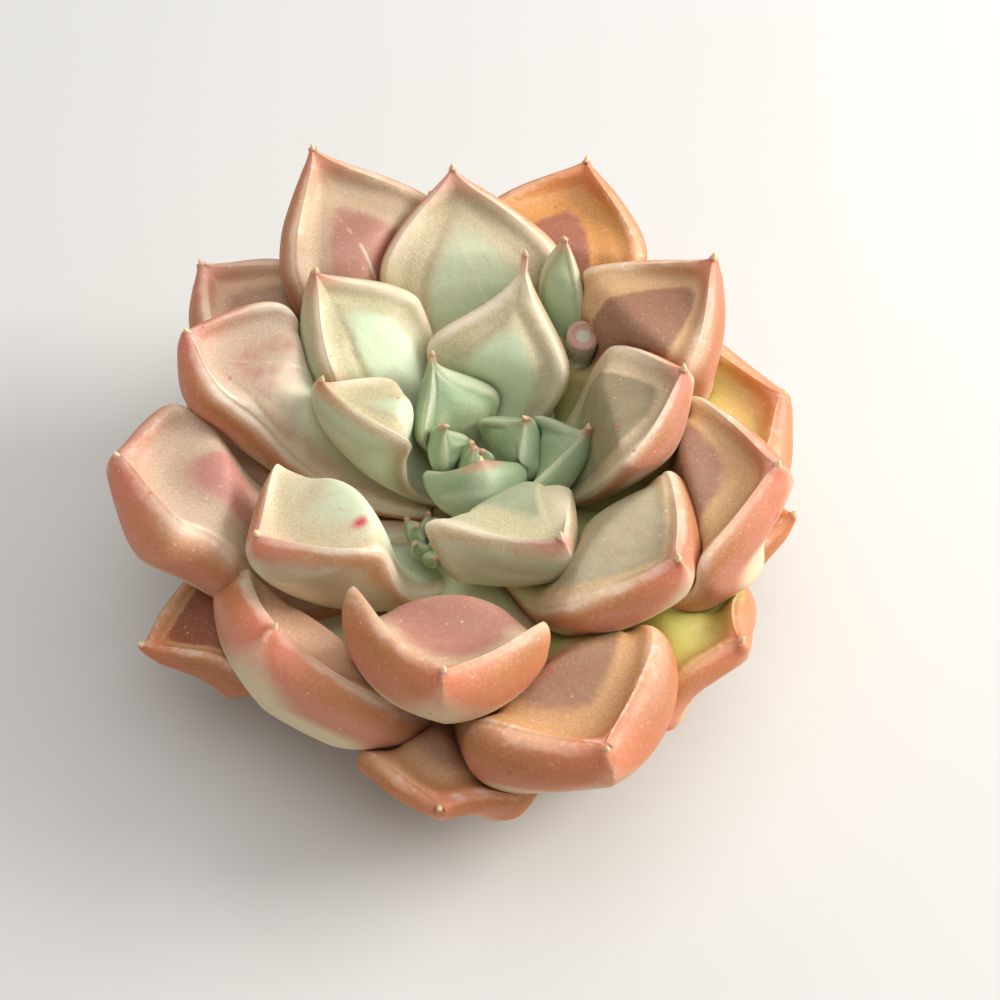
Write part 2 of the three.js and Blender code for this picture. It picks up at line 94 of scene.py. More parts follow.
# What a leaf has when its own line says nothing else. Angles are in degrees and sizes in mm.
# at is the tip's azimuth, reach and rise its distance from the axis and its height.
# root and foot: the root's distance from the axis, and its height. dip: how far the midline drops
# below the straight line to the tip as it leaves the root. curl: how far it turns up at the tip.
# hook: how far from its ends, as a share of its length, the midline keeps those two directions.
# wide: full width, reached at the share widest of the length. early: how soon it widens. point:
# how drawn-out the tip is. shoulder: how wide the leaf still is near its end. lean: how much wider
# its anticlockwise half is. swing: how far the root's azimuth lags the tip's.
# thick: fleshiness under the midline. bulge and keel: how full and how keeled the underside is.
# blunt: how far it stands out past the tip.
# cups, rolls, horns: how steeply each half rises to its margin, how far it is rolled in and how
# far its shoulder stands up, the anticlockwise half first. flat: how late the halves rise.
# fill, till: how far the hollow between them is filled, and up to where. mound: the height, place
# and reach of a soft mound on the face.
# green, blush and coral: how green the skin is, how pink its pad is and how red its edges are.
# pad_dark_and_shade: how dark the pad is, partly its own darker colour and partly painted shade.
# painted_glow: how much painted light seems to come through the leaf. base: how far along
# the pale base reaches.
# pad: the print that the leaf above left on the face, as its middle's distance from the midline,
# its half width, both as shares of the leaf's half width, the shares of the length where it starts
# to narrow and where it ends, and how square its end is. vein: a pale line on the pad, as its
# distance from the midline at 0.7 of the length, and how much that grows over a whole length.
# spots: red spots, each as the share of the half width and of the length where it is, its radius,
# and 1 for the face or -1 for the underside.
PLAIN_LEAF = {
    "root": 4.4,
    "foot": 4,
    "dip": 30,
    "curl": 30,
    "hook": 0.38,
    "wide": 18,
    "widest": 0.7,
    "point": 1.3,
    "thick": 3.8,
    "cups": (0.85, 0.85),
    "lean": 0,
    "swing": 0,
    "bulge": 0.45,
    "keel": 0.5,
    "blunt": 1,
    "fill": 0.95,
    "till": 0.95,
    "shoulder": 2,
    "flat": 0,
    "rolls": (0, 0),
    "horns": (0, 0),
    "green": 0.2,
    "blush": 0.5,
    "coral": 0.5,
    "pad": (0, 0.6, 0.5, 0.86, 2),
    "vein": (NO_VEIN, 0),
    "early": 0.8,
    "mound": (0, 0.5, 0.2),
    "pad_dark_and_shade": 0,
    "painted_glow": 0.2,
    "base": 0.45,
    "spots": (),
}

HEART_LEAVES = {
    "leaf_01": dict(
        at=150, reach=3.4, rise=23.2, root=1.6, foot=15.6, wide=4.6, widest=0.42, point=2.4,
        thick=1.2, blunt=0, cups=(0.6, 0.6), green=1, blush=0, coral=0,
    ),
    "leaf_02": dict(
        at=285, reach=2.2, rise=22.6, root=2, foot=15.3, swing=30, dip=50, curl=50, wide=9.6,
        widest=0.62, point=0.9, thick=2, blunt=0.3, cups=(0.5, 0.7), lean=-0.06, green=1, blush=0,
        coral=0.3, fill=0.5,
    ),
    "leaf_03": dict(
        at=31, reach=5.7, rise=23, root=2.4, foot=15, dip=12, curl=12, wide=8, widest=0.5,
        point=1.9, thick=1.6, blunt=0, cups=(0.6, 0.6), green=1, blush=0, coral=0.1, fill=0.3,
    ),
    "leaf_04": dict(
        at=5, reach=11.2, rise=24, root=3, foot=14.4, swing=20, curl=10, wide=9.5, widest=0.55,
        point=2.2, thick=1.4, blunt=0, cups=(0.7, 0.9), green=1, blush=0, coral=0.1, fill=0.3,
    ),
    "leaf_05": dict(
        at=117, reach=9.9, rise=26, root=3.2, foot=14.2, dip=14, curl=14, wide=9.5, widest=0.45,
        point=2.6, thick=1.8, blunt=0, cups=(0.9, 0.3), lean=-0.15, green=1, blush=0, coral=0.1,
        fill=0.75,
    ),
    "leaf_06": dict(
        at=304, reach=14.6, rise=24, root=3.8, foot=13.6, dip=40, curl=40, wide=15, widest=0.6,
        thick=2.2, bulge=0.12, blunt=0, cups=(0.68, 1.25), lean=-0.3, green=0.8, blush=0.1,
        coral=0.2, flat=0.6, keel=0.9, pad_dark_and_shade=0.8, painted_glow=0.3, early=0.5,
    ),
    "leaf_07": dict(
        at=163, reach=15.9, rise=27, root=3.8, foot=12.4, wide=10.5, point=1.7, thick=2, bulge=0.1,
        blunt=0, cups=(1.8, 0.8), lean=0.1, green=0.77, blush=0.2, coral=0.3,
        pad=(-0.1, 0.6, 0.5, 0.86, 2), rolls=(0.35, 0), early=0.5, painted_glow=0, base=0.6,
    ),
    "leaf_08": dict(
        at=75, reach=19.3, rise=30, root=4, foot=13.3, dip=16, curl=16, wide=14, widest=0.5,
        point=2.7, thick=2.8, blunt=0, cups=(0.6, 0.6), green=0.75, blush=0, coral=0.2,
        pad=(-0.03, 0.62, 0.42, 0.75, 1.4), vein=(0.6, 0.7), fill=0.75, lean=0.08,
    ),
    "leaf_09": dict(
        at=12, reach=20.7, rise=29, root=4.2, foot=13, wide=15.5, widest=0.74, thick=2.2, bulge=0.3,
        blunt=0, cups=(0.48, 0.85), green=0.42, blush=0, coral=0.3, pad=(-0.1, 0.7, 0.62, 0.89, 3),
        pad_dark_and_shade=0.9, painted_glow=0.3, lean=-0.06,
    ),
}

MIDDLE_LEAVES = {
    "leaf_10": dict(
        at=213, reach=23.9, rise=26, foot=9.4, wide=15, thick=2.7, blunt=0, cups=(0.95, 0.6),
        green=0.62, blush=0.15, coral=0.3, pad=(0, 0.75, 0.6, 0.88, 2), fill=1.3, rolls=(0.2, 0),
        horns=(0, 0.8), shoulder=1.5, flat=0.6, widest=0.85, bulge=0, swing=-22,
        spots=((0.36, 0.78, 0.7, 1),), early=0.4, mound=(1.5, 0.5, 0.2), painted_glow=0, base=0.74,
    ),
    "leaf_11": dict(
        at=320, reach=24.2, rise=26, foot=12.4, dip=36, curl=36, wide=17.4, widest=0.76, thick=3.4,
        blunt=0.4, cups=(0.5, 0.42), green=0.4, blush=0.2, coral=0.45, pad=(0, 0.95, 0.68, 0.92, 3),
        horns=(1.2, 0), shoulder=1.6, flat=0.5, fill=1.1, early=0.4, mound=(1.5, 0.5, 0.2),
        painted_glow=0.7, base=0.42, pad_dark_and_shade=0.6,
    ),
    "leaf_12": dict(
        at=135, reach=23, rise=30, foot=12.2, wide=13.4, point=1.5, thick=2.8, blunt=0.2,
        cups=(0.85, 0.7), lean=-0.1, green=0.8, blush=0, coral=0.35,
        pad=(-0.12, 0.52, 0.58, 0.86, 2.4), vein=(0.15, 3), rolls=(0.1, 0), fill=0.75, early=0.5,
        mound=(1, 0.45, 0.2), painted_glow=0, base=0.55,
    ),
    "leaf_13": dict(
        at=265, reach=27.7, rise=27, foot=12, dip=46, curl=46, wide=19.5, widest=0.78, thick=3.7,
        blunt=0.8, cups=(0.6, 0.62), lean=-0.07, green=0.15, blush=0.8, coral=0.7,
        pad=(0, 0.9, 0.5, 0.84, 2), fill=1.3, till=0.7, shoulder=1.4, rolls=(0.1, 0.1),
        horns=(0.4, 2.2), flat=1, bulge=0.3, early=0.2, mound=(3.4, 0.56, 0.19), pad_dark_and_shade=0.35,
    ),
    "bract": dict(
        at=67, reach=23.2, rise=29.4, root=16.6, foot=17.6, swing=10, dip=8, curl=8, wide=5.2,
        widest=0.5, point=1.1, thick=0.9, blunt=0, cups=(0.35, 0.35), green=0.9, blush=0, coral=0.3,
        pad=(0, 0.9, 0.2, 0.95, 2), base=0.1,
    ),
    "leaf_14": dict(
        at=95, reach=30.3, rise=31, foot=11.8, widest=0.66, point=1.5, thick=3, cups=(0.65, 0.65),
        blunt=0.2, green=0.6, blush=0.15, coral=0.4, pad=(-0.1, 0.62, 0.6, 0.89, 1.4),
        vein=(-1.3, 9.5), lean=-0.12, shoulder=2.5, fill=0.75, pad_dark_and_shade=0.1, painted_glow=0.15,
    ),
    "leaf_15": dict(
        at=37, reach=30.2, rise=30, foot=11.6, thick=3, bulge=0.35, blunt=0.3, cups=(0.8, 0.75),
        blush=0.7, pad=(-0.1, 0.62, 0.7, 0.91, 2.5), rolls=(0, 0.12), pad_dark_and_shade=0.9, painted_glow=0.7, base=0.4,
    ),
    "leaf_16": dict(
        at=161, reach=30.4, rise=28, foot=11.4, wide=13.6, widest=0.82, thick=3.2, blunt=0.5,
        cups=(0.75, 1), blush=0.55, coral=0.25, pad=(0, 0.9, 0.6, 0.9, 2.5), vein=(-1.5, 11),
        fill=0.9, rolls=(0.25, 0), flat=0.5, shoulder=2.8, early=0.4, mound=(2, 0.5, 0.25), painted_glow=0,
        base=0.7,
    ),
    "leaf_17": dict(
        at=350, reach=29.1, rise=26, foot=11.2, dip=36, curl=36, wide=20, widest=0.76, thick=4,
        blunt=0.6, cups=(0.75, 0.6), lean=-0.2, blush=0.6, pad=(0, 0.85, 0.6, 0.88, 3), flat=1,
        shoulder=2.6, horns=(0.6, 0), bulge=0.2, pad_dark_and_shade=0.75,
        spots=((-0.66, 0.92, 0.4, -1), (-0.3, 0.87, 0.25, -1)), early=0.5, painted_glow=0.8, base=0.5,
    ),
}

# What the lowest leaves have in common.
LOWEST_LEAF = dict(curl=26, blunt=0.6, cups=(0.3, 0.3), green=0.1, coral=0.9)

OUTER_LEAVES = {
    "leaf_18": dict(
        at=229, reach=27.3, rise=22, foot=11.4, swing=-25, dip=42, curl=74, hook=0.52, wide=21.5,
        widest=0.76, thick=4.8, bulge=0.5, cups=(0.25, 0.5), lean=-0.06, green=0, blush=0.3,
        coral=0.35, flat=1, painted_glow=0.3, early=0.5, base=0.5,
    ),
    "leaf_19": dict(
        at=290, reach=33.9, rise=21, foot=10.6, dip=44, curl=44, wide=21, widest=0.76, thick=4.8,
        blunt=1.6, cups=(0.72, 0.5), lean=-0.05, green=0.1, blush=0.2, coral=0.75,
        pad=(-0.05, 0.8, 0.64, 0.87, 3), rolls=(0.1, 0.15), flat=0.6, pad_dark_and_shade=0.8, early=0.4,
        mound=(1, 0.5, 0.2), painted_glow=0.75, base=0.62,
    ),
    "leaf_20": dict(
        at=118, reach=37.6, rise=31, foot=10.6, wide=19, point=1.4, thick=3.2, lean=-0.1, blunt=0.4,
        green=0.3, blush=0.9, coral=0.6, pad=(0.05, 0.64, 0.64, 0.88, 2), vein=(0.3, 4),
        rolls=(0.1, 0), pad_dark_and_shade=0.35, base=0.4,
    ),
    "leaf_21": dict(
        at=184, reach=34.6, rise=24, foot=10.4, swing=-24, wide=17.4, widest=0.88, thick=4.8,
        cups=(0.75, 0.6), blush=0.9, coral=0.45, pad=(0.1, 0.55, 0.7, 0.88, 2), fill=1.05,
        rolls=(0.25, 0), flat=1, lean=0.3, early=0.5, mound=(1, 0.5, 0.2), painted_glow=0, base=0.52,
    ),
    "leaf_22": dict(
        at=72, reach=38.7, rise=26, foot=10.2, wide=18.2, widest=0.75, point=1.2, blunt=0.6,
        green=0, blush=0.7, coral=0.85, pad=(0, 0.55, 0.66, 0.88, 2), pad_dark_and_shade=0.85, painted_glow=0.9, base=0.4,
    ),
    "leaf_23": dict(
        at=322, reach=31.6, rise=18, foot=9, dip=28, curl=38, wide=20.5, thick=3.2, blunt=1.4,
        cups=(0.65, 0.45), lean=-0.15, green=0.3, blush=0.2, coral=0.8, flat=0.6, painted_glow=1, early=0.5,
        base=0.92,
    ),
    "leaf_24": dict(
        at=15, reach=32.6, rise=20, foot=9, dip=36, wide=21, widest=0.78, blunt=1.2,
        cups=(1.05, 0.45), green=0.15, blush=0.2, coral=0.85, rolls=(0, 0.15), flat=1, shoulder=2.8,
        painted_glow=1, base=0.85,
    ),
    "leaf_25": dict(
        at=141, reach=38.2, rise=23, foot=8.8, dip=36, wide=17, widest=0.76, cups=(1.1, 0.95),
        blush=0.4, coral=0.3, painted_glow=0.3, base=0.3, pad_dark_and_shade=0.5, pad=(0, 0.9, 0.6, 0.92, 3),
    ),
    "leaf_26": dict(
        at=265, reach=34.8, rise=14.2, foot=8.6, dip=28, curl=26, wide=16.5, widest=0.76, thick=3.2,
        blunt=1.2, cups=(0.35, 0.35), green=0.1, blush=0.4, coral=0.9, pad=(0, 0.7, 0.65, 0.9, 2),
        painted_glow=0.6, base=0.5, pad_dark_and_shade=0.4,
    ),
    "leaf_27": dict(
        at=209, reach=36.8, rise=14, foot=8.6, dip=28, wide=14, thick=2.8, blunt=0.4,
        cups=(0.9, 0.5), green=0, blush=0.6, coral=0.9, painted_glow=0.6, pad_dark_and_shade=1,
        pad=(0, 0.9, 0.6, 0.95, 3), base=0.3,
    ),
    "leaf_28": dict(
        at=353, reach=32.2, rise=16, foot=8, dip=36, wide=14, thick=2.6, blunt=0.3, cups=(0.4, 0.3),
        green=0, blush=0.2, coral=0.9, painted_glow=1,
    ),
    "leaf_29": dict(
        at=99, reach=34, rise=24, foot=8, dip=40, wide=14, thick=3.2, cups=(0.3, 0.3), blunt=0.2,
        green=0, coral=0.9,
    ),
    "leaf_30": dict(
        at=165, reach=31.1, rise=18, foot=8, dip=36, wide=15, thick=3.4, cups=(0.4, 0.3), blunt=0.3,
        green=0, coral=0.9,
    ),
    "leaf_31": dict(LOWEST_LEAF, at=45, reach=32, rise=15.5, foot=7.6, dip=34, wide=16, thick=3.2),
    "leaf_32": dict(LOWEST_LEAF, at=83, reach=34, rise=14.6, foot=7.4, wide=16, thick=3.2),
    "leaf_33": dict(LOWEST_LEAF, at=126, reach=34, rise=13.4, foot=7.8, dip=24, wide=16, thick=2.8),
    "leaf_34": dict(
        LOWEST_LEAF, at=303, reach=28, rise=9, foot=7.4, dip=12, curl=22, wide=14, thick=2.6,
    ),
    "leaf_35": dict(
        LOWEST_LEAF, at=63, reach=29, rise=10, foot=6.6, dip=16, curl=22, wide=14, thick=2.6,
    ),
    "leaf_36": dict(
        LOWEST_LEAF, at=238, reach=25.5, rise=9, foot=7, dip=12, curl=22, wide=13, thick=2.6,
    ),
}

# The leaves of each ring, youngest first, in the order in which they are built.
LEAVES_BY_RING = {"heart": HEART_LEAVES, "middle": MIDDLE_LEAVES, "outer": OUTER_LEAVES}

# The tiny leaves of the crown's bud and of the side shoot.
TINY_LEAF = {
    **PLAIN_LEAF,
    "dip": 10,
    "curl": 10,
    "wide": 3,
    "widest": 0.45,
    "point": 1.6,
    "thick": 0.9,
    "cups": (0.4, 0.4),
    "blunt": 0,
    "green": 1,
    "blush": 0,
    "coral": 0,
    "pad": (0, 0.01, 0.5, 0.51, 2),
}

# The dried points of these leaves: their radius, and their length on the bud and on the shoot.
TINY_THORN_RADIUS = 0.09
BUD_THORN = 0.4
SHOOT_THORN = 0.3

# The bud's leaves, and the fine hairs at their tips: how many on each, how far they lean, the
# shortest and the longest, and their radius.
BUD_LEAVES = [
    dict(at=250, reach=0.3, rise=22.6, root=0.4, foot=15.2),
    dict(at=20, reach=0.5, rise=21.2, root=0.5, foot=15.2),
    dict(at=120, reach=0.8, rise=21.8, root=0.5, foot=15.2),
]
BUD_HAIRS = 3
HAIR_LEAN = 0.45
HAIR_LENGTH = (0.5, 0.9)
HAIR_RADIUS = 0.035

# The side shoot: its root in the stem, the heart its leaves spring from, the radius between them,
# and how many leaves there are. Each stands a golden angle on from the one before.
SHOOT_ROOT = (-2.6, -3.4, 12.4)
SHOOT_HEART = (-4.7, -6.2, 13.4)
SHOOT_STUB_RADIUS = 0.9
SHOOT_LEAVES = 8
GOLDEN_ANGLE = 137.5

# The stem's outline as radius and height, its full radius, the radius down to which its bark is
# scarred and ribbed, and how deep and how many its soft ribs are.
STEM_OUTLINE = (
    (0.01, 0), (4.1, 0), (4.6, 1.2), (5, 4.5), (5, 10.5), (4, 13.4), (2.6, 15), (0.01, 16),
)
STEM_RADIUS = 5
BARK_RADIUS = 3.9
RIB_DEPTH = 0.1
RIBS = 9

# The prints of fallen leaves on the stem: how many, how high the first one is and how far each is
# above the one before, their half width and half height, how far they arch, and their depth.
STEM_SCARS = 16
SCAR_START = 0.6
SCAR_RISE = 0.5
SCAR_WIDTH = 2.1
SCAR_HEIGHT = 0.6
SCAR_ARCH = 0.12
SCAR_DEPTH = 0.28

# The cut flower stalk: its radius and middle line, how far the dried ring round its cut stands up
# and how far the pith has sunk.
STALK_RADIUS = 1.7
STALK_LINE = (
    (3.2, 3.9, 11.4), (6.4, 8.2, 12.6), (9.4, 12.4, 15.4), (10.8, 14.4, 19.4), (11, 13.4, 23.4),
)
RIND_RISE = 0.16
PITH_DEPTH = 0.12

# A way that neither the stalk nor the side shoot ever runs.
ASIDE = (0.31, -0.2, 0.93)

# Fixed colours, as linear red, green and blue: the cracks of the bark, the dried flecks of the
# stalk's ring, and the rings of its pith.
CRACK_COLOUR = (0.09, 0.06, 0.035)
FLECK_COLOUR = (0.5, 0.23, 0.17)
RING_COLOUR = (0.8, 0.72, 0.6)

# The stage, in metres: how far the floor reaches, each light's name, place, size and power in
# watts, what the lights look at, the sky, and the camera.
FLOOR_REACH = 2
LIGHTS = (
    ("KeyLight", (0.5, 0.12, 0.27), 0.28, 3.9),
    ("SkyLight", (0.1, 0.1, 0.6), 0.7, 2.4),
)
LIGHT_TARGET = (0, 0, 0.015)
SKY_COLOUR = (0.9, 0.92, 0.95, 1)
SKY_STRENGTH = 0.42
CAMERA_LENS = 54
CAMERA_SENSOR = 36
CAMERA_PLACE = (0.0024, -0.08964, 0.14087)
CAMERA_TARGET = (0.0024, -0.0036, 0.018)

# Where a Mix node keeps its two colours, and their mixture.
FIRST_COLOUR = 6
SECOND_COLOUR = 7
MIXED_COLOUR = 2

# Every finished piece as a search tree with its box, youngest first. Later leaves are pressed
# down under them.
ABOVE = []


def linear(code):
    """A colour code such as 0xE8E0C8 as linear red, green and blue."""
    parts = [(code >> shift & 255) / 255 for shift in (16, 8, 0)]
    return tuple(p / 12.92 if p <= 0.04045 else ((p + 0.055) / 1.055) ** 2.4 for p in parts)


def colour_property(name, description, code):
    """A colour that a user can change, from its code."""
    return FloatVectorProperty(
        name=name, description=description, subtype="COLOR", size=3, min=0, max=1,
        default=linear(code),
    )


class EcheveriaColours(bpy.types.PropertyGroup):
    sage: colour_property("Sage", "Skin of the youngest leaves", 0x93A67C)
    cream: colour_property("Cream", "Margins of the younger leaves", 0xE9DDC4)
    olive: colour_property("Olive", "Band inside the margin of a green leaf", 0xC6BA92)
    # Painted light: the colour the band takes where light seems to come through the leaf from
    # behind.
    tan: colour_property("Tan", "Band inside the margin of a leaf with light behind it", 0xCE8B3C)
    beige: colour_property("Beige", "Band inside the margin of an old leaf", 0xCFAE98)
    umber: colour_property("Umber", "Fine dust on the band", 0x8A6040)
    mist: colour_property("Mist", "Bases of the leaves", 0xDFE6C8)
    bloom: colour_property("Bloom", "Fine wax and scuffs", 0xEFE8DC)
    mint: colour_property("Mint", "Pad of a green leaf", 0xD0DEB8)
    mauve: colour_property("Mauve", "Pad of a blushed leaf", 0xBE8274)
    # The next two are the darker colours of the pads, partly their own colour and partly painted
    # shade.
    pad_dark_and_shade: colour_property("Dusk", "Darkest pads of old leaves", 0x945234)
    green_pad_dark_and_shade: colour_property("Moss", "Darkest pads of green leaves", 0x7C7A54)
    rust: colour_property("Rust", "Underside of a leaf near its margin", 0xC07C48)
    crimson: colour_property("Crimson", "Small spots here and there", 0xC8203C)
    fawn: colour_property("Fawn", "Pad of an old leaf without a blush", 0xB79272)
    peach: colour_property("Peach", "Margins of the older leaves", 0xEDB28E)
    coral: colour_property("Coral", "Underside of the outer leaves", 0xD27C4A)
    pink: colour_property("Pink", "Tips of the leaves", 0xE5807A)
    # Painted light: the lime of the bases where light seems to come through the leaves.
    backlit_lime: colour_property("Lime", "Bases between the leaves, where light comes through", 0xD2D668)
    rose: colour_property("Rose", "Underside of the middle leaves", 0xCB8E78)
    pale: colour_property("Pale", "Underside of a leaf near its root", 0xE8E4B8)
    thorn: colour_property("Thorn", "The dried point at a leaf's tip", 0xF6CFA0)
    bark: colour_property("Bark", "The stem", 0x8A7350)
    scar: colour_property("Scar", "The prints of fallen leaves on the stem", 0xB49A74)
    rind: colour_property("Rind", "The ring round the cut flower stalk", 0xB58270)
    pith: colour_property("Pith", "The middle of the cut flower stalk", 0xB9B49A)
    floor: colour_property("Floor", "The floor", 0xD8D5CF)


def size_property(name, description, metres):
    """A length that a user can change."""
    return FloatProperty(name=name, description=description, default=metres, unit="LENGTH")


class EcheveriaSizes(bpy.types.PropertyGroup):
    lip: size_property("Lip", "Height of the soft ridge along a leaf's margin", 0.00005)
    groove: size_property("Groove", "Depth of the hollow inside that ridge", 0.00016)
    pad: size_property("Pad", "Height of the print that the leaf above left", 0.0008)
    wobble: size_property("Wobble", "Unevenness of a leaf's skin", 0.00015)
    thorn: size_property("Thorn", "Length of the dried point at a leaf's tip", 0.0009)


def sizes():
    return bpy.context.scene.echeveria_sizes


def colours():
    return bpy.context.scene.echeveria_colours


class Wire:
    """A number in a material: arithmetic on it adds Math nodes."""

    def __init__(self, graph, socket):
        self.graph = graph
        self.socket = socket

    def math(self, operation, *others):
        """One Math node on this number."""
        return self.graph.maths(operation, self, *others)

    def __add__(self, other):
        return self.math("ADD", other)

    __radd__ = __add__

    def __sub__(self, other):
        return self.math("SUBTRACT", other)

    def __rsub__(self, other):
        return self.graph.maths("SUBTRACT", other, self)

    def __mul__(self, other):
        return self.math("MULTIPLY", other)

    __rmul__ = __mul__

    def __abs__(self):
        return self.math("ABSOLUTE")

    def most(self, other):
        return self.math("MAXIMUM", other)

    def least(self, other):
        return self.math("MINIMUM", other)

    def between(self, low, high):
        """0 below low and 1 above high, with a soft step between them."""
        made = self.graph.node(
            "MapRange", {"interpolation_type": "SMOOTHSTEP"},
            {"Value": self, "From Min": low, "From Max": high},
        )
        return Wire(self.graph, made.outputs["Result"])


class Graph:
    """The nodes of one material."""

    def __init__(self, name):
        self.material = bpy.data.materials.new(name)
        self.material.use_nodes = True
        self.tree = self.material.node_tree
        self.tree.nodes.clear()

    def node(self, kind, settings=(), sockets=()):
        """Any node, from its type, its settings and the values or links of its sockets."""
        made = self.tree.nodes.new("ShaderNode" + kind)
        for key, value in dict(settings).items():
            setattr(made, key, value)
        for key, value in dict(sockets).items():
            if isinstance(value, Wire):
                self.tree.links.new(value.socket, made.inputs[key])
            else:
                made.inputs[key].default_value = value
        return made

    def maths(self, operation, *values):
        made = self.node("Math", {"operation": operation}, dict(enumerate(values)))
        return Wire(self, made.outputs[0])

    def mix(self, first, second, share):
        """Two colours mixed: share of the second."""
        def full(value):
            return value if isinstance(value, Wire) else (*value, 1)

        sockets = {"Factor": share, FIRST_COLOUR: full(first), SECOND_COLOUR: full(second)}
        made = self.node("Mix", {"data_type": "RGBA"}, sockets)
        return Wire(self, made.outputs[MIXED_COLOUR])

    def parts(self, name):
        """The three numbers of one of the mesh's own attributes."""
        read = self.node("Attribute", {"attribute_name": name})
        split = self.node("SeparateXYZ", (), {0: Wire(self, read.outputs["Vector"])})
        return [Wire(self, output) for output in split.outputs]

    def where(self):
        return Wire(self, self.node("TexCoord").outputs["Object"])

    def noise(self, scale, detail=3, roughness=0.55):
        """Soft noise from 0 to 1, with scale waves a metre."""
        sockets = {"Vector": self.where(), "Scale": scale, "Detail": detail, "Roughness": roughness}
        return Wire(self, self.node("TexNoise", (), sockets).outputs["Fac"])

    def dots(self, scale):
        """The distance to the nearest of scattered points, scale of them a metre."""
        made = self.node("TexVoronoi", (), {"Vector": self.where(), "Scale": scale})
        return Wire(self, made.outputs["Distance"])

    def finish(self, settings, height=None, bump=0.0001):
        """The shader and the output. settings go to the shader's sockets, height to a bump."""
        sockets = dict(settings)
        if height is not None:
            made = self.node("Bump", (), {"Height": height, "Distance": bump})
            sockets["Normal"] = Wire(self, made.outputs[0])
        shader = self.node("BsdfPrincipled", (), sockets)
        self.node("OutputMaterial", (), {"Surface": Wire(self, shader.outputs[0])})
        return self.material


